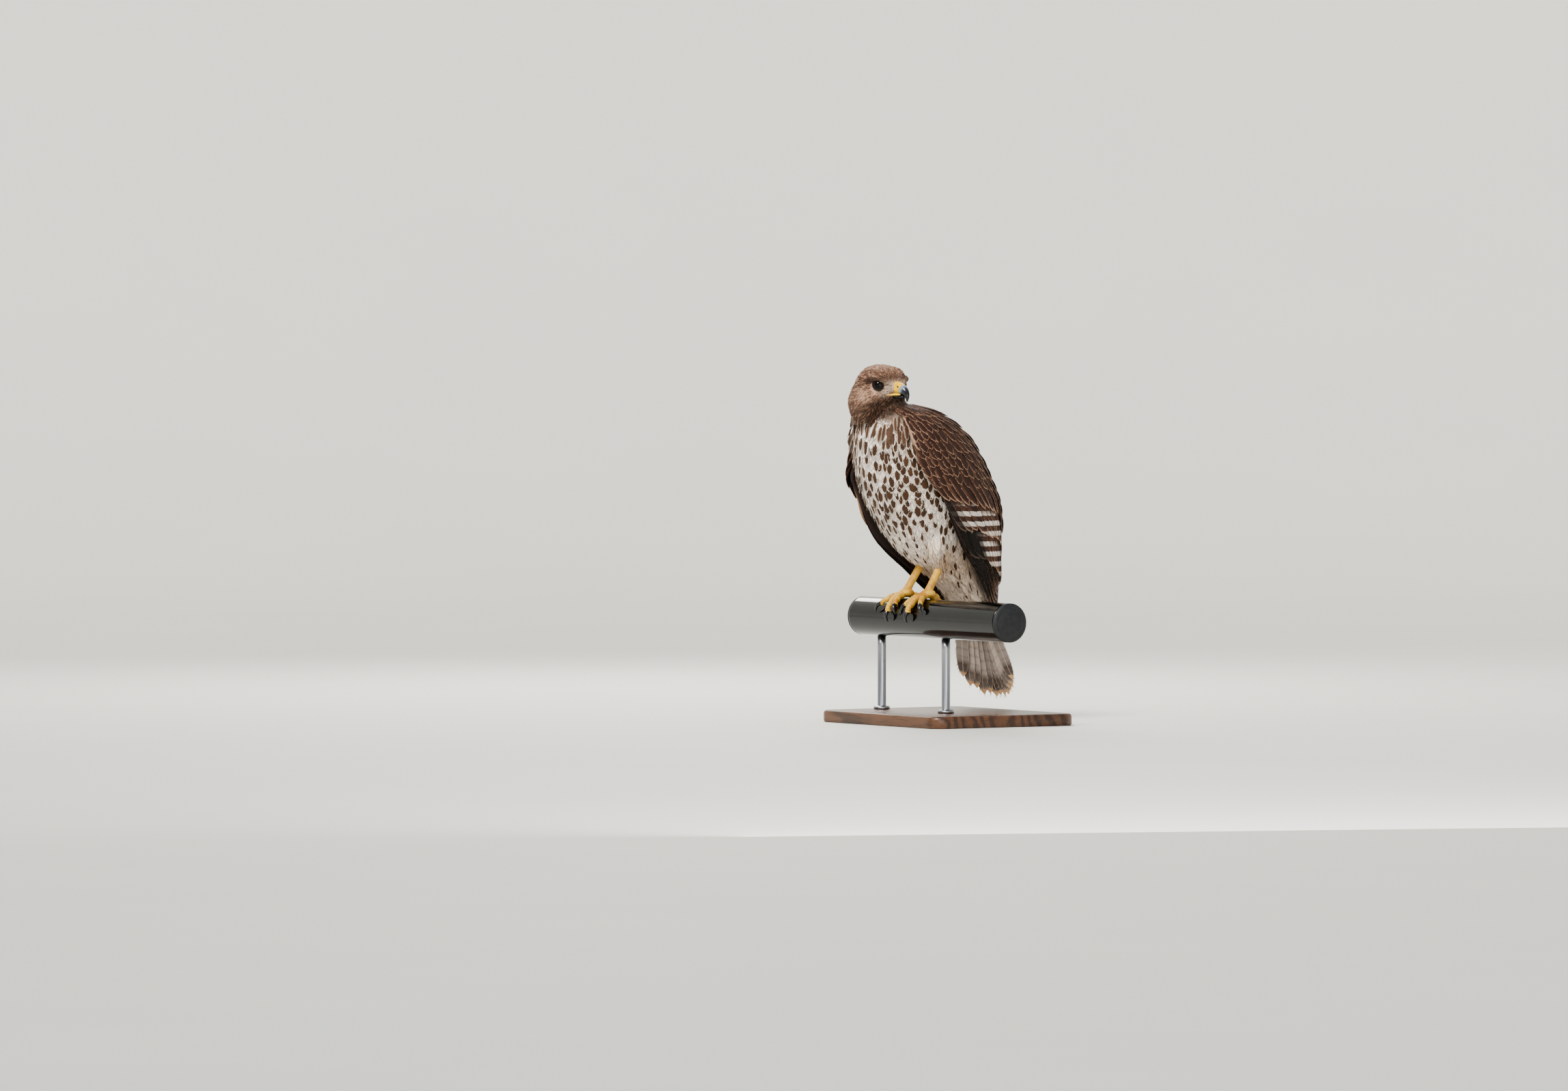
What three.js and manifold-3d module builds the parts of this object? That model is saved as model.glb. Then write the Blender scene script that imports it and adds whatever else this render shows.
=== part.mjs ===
// A young red-shouldered hawk, life size, gripping a short cut length of round gate rail on a plain display stand.
// Millimetres, +Z up. The origin is the centre of the stand base's underside and the rail runs along X.
// The bird is drawn in its own body frame: -Y is the way it faces, +X its left side, and the origin lies on the
// rail's centreline between its feet. placeBody() turns that frame on the rail.
import * as THREE from "three";
import { mergeVertices } from "three/addons/utils/BufferGeometryUtils.js";
import Module from "manifold-3d";

const wasm = await Module();
wasm.setup();

// Driving dimensions
const GAP = 0.3;
const RAIL_R = 22.5;
const RAIL_FROM = -105;
const RAIL_TO = 200;
const PLUG_WALL = 4;
const BASE = { long: 250, wide: 196, high: 14, corner: 18, chamfer: 2.5 };
const ROD = { radius: 5, offset: 68 };
const RAIL_HEIGHT = 122;
const PERCH_AT = new THREE.Vector3(-25, -30, RAIL_HEIGHT);
const BODY_TURN = THREE.MathUtils.degToRad(13);
const HEAD_AT = new THREE.Vector3(3, -56, 265);
const HEAD_TURN = THREE.MathUtils.degToRad(85);
const HEAD_NOD = THREE.MathUtils.degToRad(3);
const EYE = { radius: 7.6, forward: 13.2, side: 17.4, up: 6 };
const FOOT_X = { left: 29, right: -17 };
const HEEL = { y: 37, z: 90 };
const SHANK_R = 4.2;
const TOE_R = 4.2;
const HEAD_CUT = 235;
const TORSO_CUT = 226;

// Horizontal slices of the forms, from the top down: height z, sideways shift x, front and back limits in y,
// half width w, all seen in the body frame.
const TORSO_SLICES = [
  { z: 240, x: -4, front: -74, back: -2, w: 38 },
  { z: 226, x: -3, front: -75, back: 20, w: 52 },
  { z: 208, x: -1, front: -75, back: 36, w: 60 },
  { z: 186, x: 0, front: -71, back: 48, w: 63 },
  { z: 162, x: 0, front: -64, back: 60, w: 64 },
  { z: 138, x: 0, front: -53, back: 72, w: 63 },
  { z: 114, x: 0, front: -39, back: 82, w: 58 },
  { z: 92, x: 0, front: -22, back: 88, w: 50 },
  { z: 74, x: 0, front: -3, back: 92, w: 42 },
  { z: 56, x: 0, front: 24, back: 97, w: 34 },
  { z: 36, x: 0, front: 50, back: 102, w: 29 },
  { z: 16, x: 0, front: 72, back: 108, w: 25 },
  { z: -4, x: 0, front: 88, back: 113, w: 20 },
];
const MANTLE_SLICES = [
  { z: 240, x: 0, front: -58, back: 0, w: 46 },
  { z: 226, x: 0, front: -72, back: 30, w: 62 },
  { z: 208, x: 0, front: -78, back: 50, w: 70 },
  { z: 186, x: 0, front: -75, back: 67, w: 75 },
  { z: 162, x: 0, front: -68, back: 81, w: 78 },
  { z: 138, x: 0, front: -56, back: 94, w: 78 },
  { z: 114, x: 0, front: -42, back: 101, w: 74 },
  { z: 92, x: 0, front: -25, back: 105, w: 68 },
  { z: 74, x: 0, front: -6, back: 109, w: 62 },
  { z: 56, x: 0, front: 20, back: 112, w: 55 },
  { z: 36, x: 0, front: 44, back: 115, w: 47 },
  { z: 16, x: 0, front: 66, back: 119, w: 39 },
  { z: -4, x: 0, front: 84, back: 123, w: 31 },
];
const SQUARE = { torso: 2.3, mantle: 2.55, neck: 2.2, head: 2.1 };
// The right wing hangs a little looser than the left: its lower part lies farther forward and out, and its upper
// part is tucked in.
const LOOSE = { from: 150, full: 84, forward: 14, out: 6, tucked: 4, wrist: 10, turn: 8 };
const NECK_SLICES = [
  { z: 262, x: 1, front: -78, back: -38, w: 22 },
  { z: 250, x: -2, front: -80, back: -24, w: 33 },
  { z: 238, x: -5, front: -78, back: -6, w: 43 },
  { z: 226, x: -3, front: -75, back: 18, w: 51 },
  { z: 214, x: -2, front: -70, back: 24, w: 50 },
];
// The head's slices are in its own frame, with z measured from its centre.
const HEAD_SLICES = [
  { z: 29.6, x: 0, front: -2, back: 6, w: 4 },
  { z: 27.5, x: 0, front: -12, back: 15, w: 13 },
  { z: 22.5, x: 0, front: -20, back: 24, w: 20 },
  { z: 14, x: 0, front: -26.5, back: 31, w: 25.5 },
  { z: 5, x: 0, front: -29, back: 35, w: 27 },
  { z: -5, x: 0, front: -29, back: 37, w: 28.5 },
  { z: -15, x: 0, front: -26, back: 37.5, w: 30 },
  { z: -25, x: 0, front: -20, back: 37, w: 30 },
  { z: -34, x: 0, front: -13, back: 34, w: 26 },
];

// Numbers between two keys, by a cubic that passes smoothly through them.
function keyed(rows, key, at, field) {
  const order = [...rows].sort((a, b) => a[key] - b[key]);
  const last = order.length - 1;
  if (at <= order[0][key]) return order[0][field];
  if (at >= order[last][key]) return order[last][field];
  const i = order.findIndex((r) => r[key] > at) - 1;
  const slope = (k) => {
    const [a, b] = [order[Math.max(0, k - 1)], order[Math.min(last, k + 1)]];
    return (b[field] - a[field]) / (b[key] - a[key]);
  };
  const span = order[i + 1][key] - order[i][key];
  const t = (at - order[i][key]) / span;
  const hermite = (2 * t ** 3 - 3 * t ** 2 + 1) * order[i][field];
  const rest = (3 * t ** 2 - 2 * t ** 3) * order[i + 1][field];
  return hermite + rest + span * ((t ** 3 - 2 * t ** 2 + t) * slope(i) + (t ** 3 - t ** 2) * slope(i + 1));
}

const power = (value, exponent) => Math.sign(value) * Math.abs(value) ** exponent;

// A point on a sliced form: angle 0 is the front, a quarter turn the left side and a half turn the back.
function slicePoint(slices, angle, z, grow = 0, square = 2.3) {
  const front = keyed(slices, "z", z, "front") - grow;
  const back = keyed(slices, "z", z, "back") + grow;
  const wide = keyed(slices, "z", z, "w") + grow;
  const shift = keyed(slices, "z", z, "x");
  const x = shift + wide * power(Math.sin(angle), 2 / square);
  const y = (front + back) / 2 - ((back - front) / 2) * power(Math.cos(angle), 2 / square);
  return new THREE.Vector3(x, y, z);
}

// The mantle's surface as it lies on the left; the right wing is made the same way round and then mirrored.
const mantleSlices = (side) => MANTLE_SLICES.map((row) => {
  if (side === "left") return row;
  const loose = THREE.MathUtils.smoothstep(-row.z, -LOOSE.from, -LOOSE.full);
  const wide = LOOSE.out * loose - LOOSE.tucked * (1 - loose);
  return { ...row, front: row.front - LOOSE.forward * loose, w: row.w + wide };
});

function mantlePoint(slices, angle, z, grow = 0) {
  return slicePoint(slices, angle, z, grow, SQUARE.mantle);
}

function mantleNormal(slices, angle, z) {
  const step = 0.02;
  const along = mantlePoint(slices, angle + step, z).sub(mantlePoint(slices, angle - step, z));
  const up = mantlePoint(slices, angle, z + 2).sub(mantlePoint(slices, angle, z - 2));
  return along.cross(up).normalize();
}

// A closed geometry from rings of points, each ring running the same way round.
function ringLoft(rings) {
  const around = rings[0].length;
  const points = rings.flat();
  const faces = [];
  for (let r = 0; r + 1 < rings.length; r++) {
    for (let i = 0; i < around; i++) {
      const [a, b] = [r * around + i, r * around + ((i + 1) % around)];
      faces.push(a, b, b + around, a, b + around, a + around);
    }
  }
  [0, rings.length - 1].forEach((r) => {
    const middle = new THREE.Vector3();
    rings[r].forEach((p) => middle.addScaledVector(p, 1 / around));
    points.push(middle);
    for (let i = 0; i < around; i++) {
      const [a, b] = [r * around + i, r * around + ((i + 1) % around)];
      faces.push(...(r === 0 ? [points.length - 1, b, a] : [points.length - 1, a, b]));
    }
  });
  const geometry = new THREE.BufferGeometry().setFromPoints(points);
  geometry.setIndex(faces);
  return geometry;
}

// The solid of any closed geometry, facing out whichever way its faces were listed.
function solid(geometry) {
  const bare = geometry.clone();
  bare.deleteAttribute("normal");
  bare.deleteAttribute("uv");
  const merged = mergeVertices(bare, 1e-4);
  const triVerts = new Uint32Array(merged.index.array);
  const vertProperties = merged.attributes.position.array;
  const made = new wasm.Manifold(new wasm.Mesh({ numProp: 3, vertProperties, triVerts }));
  if (made.volume() > 0) return made;
  for (let i = 0; i < triVerts.length; i += 3) {
    [triVerts[i + 1], triVerts[i + 2]] = [triVerts[i + 2], triVerts[i + 1]];
  }
  return new wasm.Manifold(new wasm.Mesh({ numProp: 3, vertProperties, triVerts }));
}

const joined = (pieces) => pieces.reduce((all, piece) => all.add(piece));
const without = (piece, cutters) => cutters.reduce((left, cutter) => left.subtract(cutter), piece);

function geometryOf(body) {
  const pieces = body.decompose().sort((a, b) => b.volume() - a.volume());
  const mesh = pieces[0].getMesh();
  const points = [];
  for (let i = 0; i < mesh.numVert; i++) {
    points.push(new THREE.Vector3(...mesh.vertProperties.slice(i * mesh.numProp, i * mesh.numProp + 3)));
  }
  const geometry = new THREE.BufferGeometry().setFromPoints(points);
  geometry.setIndex([...mesh.triVerts]);
  return geometry;
}

function slicedSolid(slices, grow, around, levels, square) {
  const [top, bottom] = [slices[0].z + grow, slices[slices.length - 1].z - grow];
  const rings = [];
  for (let k = 0; k < levels; k++) {
    const z = bottom + ((top - bottom) * k) / (levels - 1);
    const angles = [...Array(around).keys()].map((i) => (i / around) * 2 * Math.PI);
    rings.push(angles.map((angle) => slicePoint(slices, angle, z, grow, square)));
  }
  return solid(ringLoft(rings));
}

function box(from, to) {
  const size = to.clone().sub(from);
  const middle = from.clone().add(to).multiplyScalar(0.5);
  return solid(new THREE.BoxGeometry(size.x, size.y, size.z).translate(middle.x, middle.y, middle.z));
}

const slab = (low, high) => box(new THREE.Vector3(-400, -400, low), new THREE.Vector3(400, 400, high));

function ball(at, size, detail = 14) {
  const round = new THREE.SphereGeometry(1, detail, Math.round(detail * 0.7));
  return solid(round.scale(size.x, size.y, size.z).translate(at.x, at.y, at.z));
}

// A round limb along a smooth path, with a radius at each key from 0 to 1, closed at both ends.
function limb(path, radii, sides = 10, steps = 10) {
  const curve = new THREE.CatmullRomCurve3(path);
  const frames = curve.computeFrenetFrames(steps, false);
  const rings = [];
  for (let k = 0; k <= steps; k++) {
    const t = k / steps;
    const at = curve.getPointAt(t);
    const r = keyed(radii, "t", t, "r");
    rings.push([...Array(sides).keys()].map((i) => {
      const a = (i / sides) * 2 * Math.PI;
      const out = frames.normals[k].clone().multiplyScalar(Math.cos(a));
      return at.clone().addScaledVector(out.addScaledVector(frames.binormals[k], Math.sin(a)), r);
    }));
  }
  return solid(ringLoft(rings));
}

// A feather vane laid along a path: place(t) gives its point, outward normal and way across. The outline is widest
// past the middle and rounds off at the tip, the shaft stands proud of the edges, and both faces share one layout.
function vane(place, half, { steps = 5, thick = 1.4, tip = 0.3, root = 0.55 } = {}) {
  const rows = [];
  for (let k = 0; k <= steps; k++) {
    const t = k / steps;
    const round = t > 1 - tip ? Math.sqrt(Math.max(0.03, 1 - ((t - 1 + tip) / tip) ** 2)) : 1;
    const width = half * round * (root + (1 - root) * Math.min(1, t * 2));
    rows.push({ ...place(t), width, thick: thick * (1 - 0.45 * t) });
  }
  const shares = [-1, 0, 1];
  const points = [];
  rows.forEach((row) => {
    [1, -1].forEach((face) => {
      shares.forEach((share) => {
        const rise = face * (share === 0 ? row.thick / 2 : Math.max(0.28, row.thick / 4));
        const camber = -0.1 * row.width * share * share;
        points.push(row.at.clone().addScaledVector(row.across, share * row.width)
          .addScaledVector(row.out, rise + camber));
      });
    });
  });
  const faces = [];
  const quad = (a, b, c, d) => faces.push(a, b, c, a, c, d);
  for (let k = 0; k < steps; k++) {
    const [low, high] = [k * 6, (k + 1) * 6];
    for (let j = 0; j < 2; j++) {
      quad(low + j, low + j + 1, high + j + 1, high + j);
      quad(low + 3 + j, high + 3 + j, high + 4 + j, low + 4 + j);
      // The underside takes the other turn but the same diagonal as the top.
      faces.splice(-6, 6, low + 3 + j, high + 4 + j, low + 4 + j, low + 3 + j, high + 3 + j, high + 4 + j);
    }
    quad(low, high, high + 3, low + 3);
    quad(low + 2, low + 5, high + 5, high + 2);
  }
  const end = steps * 6;
  for (let j = 0; j < 2; j++) {
    quad(j, j + 3, j + 4, j + 1);
    quad(end + j, end + j + 1, end + j + 4, end + j + 3);
  }
  const geometry = new THREE.BufferGeometry().setFromPoints(points);
  geometry.setIndex(faces);
  return solid(geometry);
}

// Each vane of a row is rolled a little, so that its rear edge tucks under the next one.
const SHINGLE = THREE.MathUtils.degToRad(6);

// A vane that lies on the mantle from one angle and height to another, sunk at its root and raised at its tip.
function mantleVane(slices, from, to, half, lift, options) {
  const at = (t) => {
    const angle = THREE.MathUtils.degToRad(from.a + (to.a - from.a) * t);
    const z = from.z + (to.z - from.z) * t;
    const out = mantleNormal(slices, angle, z);
    const height = lift.root + (lift.tip - lift.root) * Math.min(1, t * 1.6);
    return { at: mantlePoint(slices, angle, z).addScaledVector(out, height), out };
  };
  const place = (t) => {
    const here = at(t);
    const run = at(Math.min(1, t + 0.05)).at.sub(at(Math.max(0, t - 0.05)).at).normalize();
    const flat = here.out.clone().cross(run).normalize();
    const across = flat.multiplyScalar(Math.cos(SHINGLE)).addScaledVector(here.out, -Math.sin(SHINGLE));
    return { ...here, across };
  };
  return vane(place, half, options);
}

// The feather tiers of one folded wing, each a row of vanes from the wing's lower front edge to its upper back one.
// Angles are in degrees round the mantle, heights in the body frame.
const TIERS = [
  {
    name: "primaries", count: 6,
    from: [{ a: 74, z: 118 }, { a: 100, z: 112 }], to: [{ a: 116, z: 2 }, { a: 128, z: 44 }],
    half: [8, 9], lift: { root: -7, tip: -2.6 }, steps: 5, tip: 0.16,
  },
  {
    name: "secondaries", count: 6,
    from: [{ a: 72, z: 150 }, { a: 132, z: 138 }], to: [{ a: 91, z: 74 }, { a: 153, z: 34 }],
    half: [9.5, 11], lift: { root: -6, tip: 0.6 }, steps: 4, tip: 0.22,
  },
  {
    name: "greater_coverts", count: 5,
    from: [{ a: 62, z: 178 }, { a: 122, z: 160 }], to: [{ a: 76, z: 108 }, { a: 136, z: 82 }],
    half: [9.5, 11.5], lift: { root: -4, tip: 2.2 }, steps: 3, tip: 0.3,
  },
  {
    name: "median_coverts", count: 5,
    from: [{ a: 55, z: 206 }, { a: 122, z: 196 }], to: [{ a: 66, z: 146 }, { a: 128, z: 122 }],
    half: [10, 12], lift: { root: -3, tip: 3.4 }, steps: 3, tip: 0.34,
  },
  {
    name: "scapulars", count: 4,
    from: [{ a: 132, z: 200 }, { a: 164, z: 184 }], to: [{ a: 140, z: 128 }, { a: 160, z: 104 }],
    half: [12, 12], lift: { root: -3, tip: 4.2 }, steps: 3, tip: 0.34,
  },
  {
    name: "tertials", count: 3,
    from: [{ a: 142, z: 146 }, { a: 166, z: 136 }], to: [{ a: 152, z: 66 }, { a: 166, z: 52 }],
    half: [10.5, 11], lift: { root: -5, tip: 1.6 }, steps: 4, tip: 0.24,
  },
];

function tierVanes(slices, tier, back = 0) {
  const vanes = [];
  for (let i = 0; i < tier.count; i++) {
    const u = tier.count === 1 ? 0 : i / (tier.count - 1);
    const behind = tier.from[0].z > 170 ? back * (1 - u) : 0;
    const mix = ([p, q]) => ({ a: p.a + (q.a - p.a) * u + behind, z: p.z + (q.z - p.z) * u });
    const half = tier.half[0] + (tier.half[1] - tier.half[0]) * u;
    const options = { steps: tier.steps, tip: tier.tip };
    vanes.push(mantleVane(slices, mix(tier.from), mix(tier.to), half, tier.lift, options));
  }
  return vanes;
}

// The side outline of the folded wing's flesh and feather bases, in y and z, as a prism across the body.
function wingOutline(side) {
  const shape = new THREE.Shape();
  const ahead = side === "left" ? 0 : LOOSE.forward;
  const behind = side === "left" ? 0 : LOOSE.wrist;
  shape.moveTo(-48 + behind, 228);
  shape.bezierCurveTo(-66 + behind, 214, -46 + behind, 182, -26, 152);
  shape.bezierCurveTo(-4 - ahead / 2, 120, 16 - ahead, 92, 40 - ahead, 68);
  if (side === "right") shape.bezierCurveTo(36, 52, 50, 36, 72, 22);
  if (side === "left") shape.bezierCurveTo(58, 50, 78, 33, 97, 17);
  shape.lineTo(side === "left" ? 108 : 94, side === "left" ? 13 : 26);
  shape.bezierCurveTo(112, 60, 112, 110, 104, 140);
  shape.bezierCurveTo(90, 190, 50, 232, 4, 238);
  shape.bezierCurveTo(-20, 240, -38 + behind, 238, -48 + behind, 228);
  const prism = new THREE.ExtrudeGeometry(shape, { depth: 120, bevelEnabled: false, curveSegments: 5 });
  // The shape's x is the body's y and its y is the body's z, so the depth runs across the body.
  const turn = new THREE.Matrix4().makeBasis(
    new THREE.Vector3(0, 1, 0), new THREE.Vector3(0, 0, 1), new THREE.Vector3(1, 0, 0));
  return solid(prism.applyMatrix4(turn));
}

// The strip of back that shows between the wings, narrowing downwards.
function backStrip() {
  const shape = new THREE.Shape();
  [[-90, 260], [26, 260], [20, 200], [9, 130], [3, 90], [2, -20], [-90, -20]].forEach(([x, z], i) => {
    if (i === 0) shape.moveTo(x, z);
    else shape.lineTo(x, z);
  });
  const prism = new THREE.ExtrudeGeometry(shape, { depth: 240, bevelEnabled: false });
  return solid(prism.rotateX(Math.PI / 2).translate(0, 160, 0));
}

// The tail: rectrices fanned about its axis, the outer pairs underneath.
const TAIL = {
  pairs: 6, rootY: 94, rootZ: 40, drop: 135, lean: 50, spread: 15, half: 8.4, step: 1.15, bow: 6, shorter: 30,
};

function tailVanes() {
  const vanes = [];
  const down = new THREE.Vector3(0, TAIL.lean, -TAIL.drop).normalize();
  const out = new THREE.Vector3(0, TAIL.drop, TAIL.lean).normalize();
  for (let side = -1; side <= 1; side += 2) {
    for (let i = 0; i < TAIL.pairs; i++) {
      const share = (i + 0.35) / TAIL.pairs;
      const turn = THREE.MathUtils.degToRad(TAIL.spread * share * side);
      const along = down.clone().multiplyScalar(Math.cos(turn)).add(new THREE.Vector3(Math.sin(turn), 0, 0));
      along.normalize();
      const across = out.clone().cross(along).normalize();
      const length = Math.hypot(TAIL.drop, TAIL.lean) - TAIL.shorter * share ** 2.5;
      const root = new THREE.Vector3(side * 13 * share, TAIL.rootY, TAIL.rootZ);
      const depth = -TAIL.step * (i + (side > 0 ? 0 : 0.5)) - TAIL.bow * share * share;
      const place = (t) => {
        const at = root.clone().addScaledVector(along, length * t);
        at.addScaledVector(out, depth * (0.35 + 0.65 * t));
        return { at, out, across };
      };
      const half = TAIL.half + (i === 0 ? 1.5 : 0);
      vanes.push(vane(place, half, { steps: 4, thick: 1.6, tip: 0.14, root: 0.7 }));
    }
  }
  const seat = new THREE.Vector3(0, TAIL.rootY - 3, TAIL.rootZ + 1);
  const bed = ball(seat.addScaledVector(down, 18), new THREE.Vector3(19, 7, 26), 12);
  return joined([bed, ...vanes]);
}

// The head in its own frame: skull, brows and lids, less the sockets.
function eyeAt(side) {
  return new THREE.Vector3(side * EYE.side, -EYE.forward, EYE.up);
}

function headSolid() {
  const parts = [slicedSolid(HEAD_SLICES, 0, 24, 10, SQUARE.head)];
  [-1, 1].forEach((side) => {
    const brow = [
      new THREE.Vector3(side * 11.5, -25, 9.5), new THREE.Vector3(side * 19.2, -20.5, 13.2),
      new THREE.Vector3(side * 24.2, -11, 14.4), new THREE.Vector3(side * 25, 0, 12),
    ];
    parts.push(limb(brow, [{ t: 0, r: 1.8 }, { t: 0.45, r: 3 }, { t: 1, r: 1.6 }], 7, 5));
    const lid = new THREE.TorusGeometry(7.0, 1.25, 5, 12);
    const look = new THREE.Vector3(side * 0.86, -0.5, 0.02);
    const ahead = new THREE.Vector3(0, 0, 1);
    lid.applyQuaternion(new THREE.Quaternion().setFromUnitVectors(ahead, look.clone().normalize()));
    const seat = eyeAt(side).addScaledVector(look.normalize(), 3.6);
    parts.push(solid(lid.translate(seat.x, seat.y, seat.z)));
  });
  const gone = [-1, 1].map((side) => {
    const r = EYE.radius + GAP;
    return ball(eyeAt(side), new THREE.Vector3(r, r, r), 13);
  });
  return without(joined(parts), gone);
}

function eyeSolid(side) {
  const r = EYE.radius;
  const full = ball(eyeAt(side), new THREE.Vector3(r, r, r), 13);
  const inner = box(new THREE.Vector3(-9.5, -40, -40), new THREE.Vector3(9.5, 40, 40));
  return full.subtract(inner);
}

// The bill: sections square to a path that runs forward and then hooks down.
function billLoft(stations, sides = 10) {
  const rings = stations.map(({ y, z, w, h, tilt }) => {
    const turn = THREE.MathUtils.degToRad(tilt);
    return [...Array(sides).keys()].map((i) => {
      const a = (i / sides) * 2 * Math.PI;
      const [side, rise] = [w * Math.sin(a), h * power(Math.cos(a), 0.9)];
      return new THREE.Vector3(side, y - rise * Math.sin(turn), z + rise * Math.cos(turn));
    });
  });
  return solid(ringLoft(rings));
}

const UPPER_BILL = [
  { y: -20, z: 3.5, w: 8, h: 8, tilt: 0 },
  { y: -29, z: 3.2, w: 7.4, h: 7.4, tilt: 6 },
  { y: -36, z: 1.8, w: 6.3, h: 6.3, tilt: 20 },
  { y: -41, z: -0.8, w: 4.9, h: 5, tilt: 42 },
  { y: -44, z: -4.4, w: 3.3, h: 3.6, tilt: 66 },
  { y: -45, z: -8, w: 1.9, h: 2.1, tilt: 86 },
  { y: -44.6, z: -11.6, w: 0.6, h: 0.7, tilt: 98 },
];
const LOWER_BILL = [
  { y: -18, z: -6.6, w: 7, h: 3.6, tilt: -6 },
  { y: -28, z: -6.2, w: 5.8, h: 2.9, tilt: -4 },
  { y: -35, z: -6.2, w: 4.2, h: 2.2, tilt: 0 },
  { y: -39.4, z: -6.4, w: 2.2, h: 1.2, tilt: 6 },
];
const CERE_END = -35.5;

function billSolids(head) {
  const upper = billLoft(UPPER_BILL);
  const gape = [-1, 1].map((side) => limb([
    new THREE.Vector3(side * 6.4, -36, -4.6), new THREE.Vector3(side * 9.6, -29, -4.4),
    new THREE.Vector3(side * 14.6, -22.5, -4.2), new THREE.Vector3(side * 18.4, -15, -4.4),
  ], [{ t: 0, r: 1.2 }, { t: 0.5, r: 1.7 }, { t: 1, r: 0.9 }], 7, 6));
  const plane = box(new THREE.Vector3(-40, -80, -60), new THREE.Vector3(40, CERE_END, 60));
  const behind = box(new THREE.Vector3(-40, CERE_END - GAP, -60), new THREE.Vector3(40, 60, 60));
  const nostrils = [-1, 1].map((side) =>
    ball(new THREE.Vector3(side * 7.4, -32.2, 5.2), new THREE.Vector3(1.7, 1.8, 1.2), 8));
  const eased = (s) => ({ ...s, w: s.w + GAP, h: s.h + GAP, y: s.y - (s.y < -39 ? GAP : 0) });
  const mouth = billLoft(LOWER_BILL.map(eased));
  const fullCere = joined([upper, ...gape]).subtract(plane);
  const cere = without(fullCere, [mouth, ...nostrils]);
  const hook = upper.subtract(behind).subtract(mouth);
  const lower = billLoft(LOWER_BILL);
  // The head keeps a narrow gap to everything that leaves it.
  const widened = UPPER_BILL.map((s) => ({ ...s, w: s.w + GAP, h: s.h + GAP }));
  const wideGape = [-1, 1].map((side) => limb([
    new THREE.Vector3(side * 6.4, -36, -4.6), new THREE.Vector3(side * 9.6, -29, -4.4),
    new THREE.Vector3(side * 14.6, -22.5, -4.2), new THREE.Vector3(side * 18.6, -14.4, -4.4),
  ], [{ t: 0, r: 1.55 }, { t: 0.5, r: 2.05 }, { t: 1, r: 1.3 }], 7, 6));
  const plug = joined([billLoft(widened), mouth, ...wideGape]);
  return { cere, hook, lower, head: head.subtract(plug) };
}

// Legs, with the heel inside the belly feathers and the toes over the rail.
function legPath(side) {
  const footX = FOOT_X[side];
  const body = new THREE.Vector3(0, 0, 0);
  const foot = body.clone().add(new THREE.Vector3(footX, 0, RAIL_R + 7));
  const heel = new THREE.Vector3(footX - Math.sign(footX) * 4, HEEL.y, HEEL.z);
  return { foot, heel };
}

function toePath(footX, reach, spread, wrapEnd) {
  const points = [];
  const r = RAIL_R + GAP + TOE_R;
  const stations = 6;
  for (let k = 0; k <= stations; k++) {
    const t = k / stations;
    const angle = reach * wrapEnd * t;
    const rise = k === 0 ? 2.5 : 0.9 * Math.sin(t * Math.PI * 3) ** 2;
    const far = r + rise;
    points.push(new THREE.Vector3(footX + spread * t ** 1.1, Math.sin(angle) * far, Math.cos(angle) * far));
  }
  return points;
}

// Each toe's sideways spread and how far round the rail it wraps, in degrees. reach -1 is to the front.
const TOES = [
  { name: "inner", reach: -1, spread: 12, wrap: 56, r: 3.9 },
  { name: "middle", reach: -1, spread: 2, wrap: 74, r: 4.2 },
  { name: "outer", reach: -1, spread: -19, wrap: 54, r: 3.6 },
  { name: "hind", reach: 1, spread: 7, wrap: 58, r: 4.3 },
];

function footSolids(side) {
  const footX = FOOT_X[side];
  const inward = footX > 3 ? -1 : 1;
  const pieces = [ball(new THREE.Vector3(footX, 1, RAIL_R + 6.2), new THREE.Vector3(8.5, 9, 5.6), 12)];
  const claws = {};
  TOES.forEach((toe) => {
    const path = toePath(footX, toe.reach, toe.spread * inward, THREE.MathUtils.degToRad(toe.wrap));
    const radii = [{ t: 0, r: toe.r + 0.5 }, { t: 0.5, r: toe.r * 0.9 }, { t: 1, r: toe.r * 0.72 }];
    pieces.push(limb(path, radii, 7, 6));
    const end = path[path.length - 1];
    const run = end.clone().sub(path[path.length - 2]).normalize();
    const out = new THREE.Vector3(0, end.y, end.z).normalize();
    claws[toe.name] = clawSolid(end, run, out);
  });
  return { foot: joined(pieces), claws };
}

// A claw grows from the toe's end, arches out and curves down to a point just clear of the rail.
function clawSolid(end, run, out) {
  const step = (forward, rise) => end.clone().addScaledVector(run, forward).addScaledVector(out, rise);
  const path = [step(-1, 0.6), step(3, 2), step(7, 1.4), step(10, -0.9), step(11.4, -3)];
  return limb(path, [{ t: 0, r: 2.5 }, { t: 0.35, r: 2.2 }, { t: 0.75, r: 1.2 }, { t: 1, r: 0.4 }], 6, 5);
}

function shankSolid(side, lower, upper) {
  const { foot, heel } = legPath(side);
  const at = (t) => foot.clone().lerp(heel, t);
  const radii = [[0, SHANK_R + 0.9], [0.2, SHANK_R], [0.8, SHANK_R], [1, SHANK_R + 0.8]].map(([t, r]) => ({ t, r }));
  return limb([at(lower), at(0.2), at(0.55), at(upper)], radii, 9, 7);
}

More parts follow.
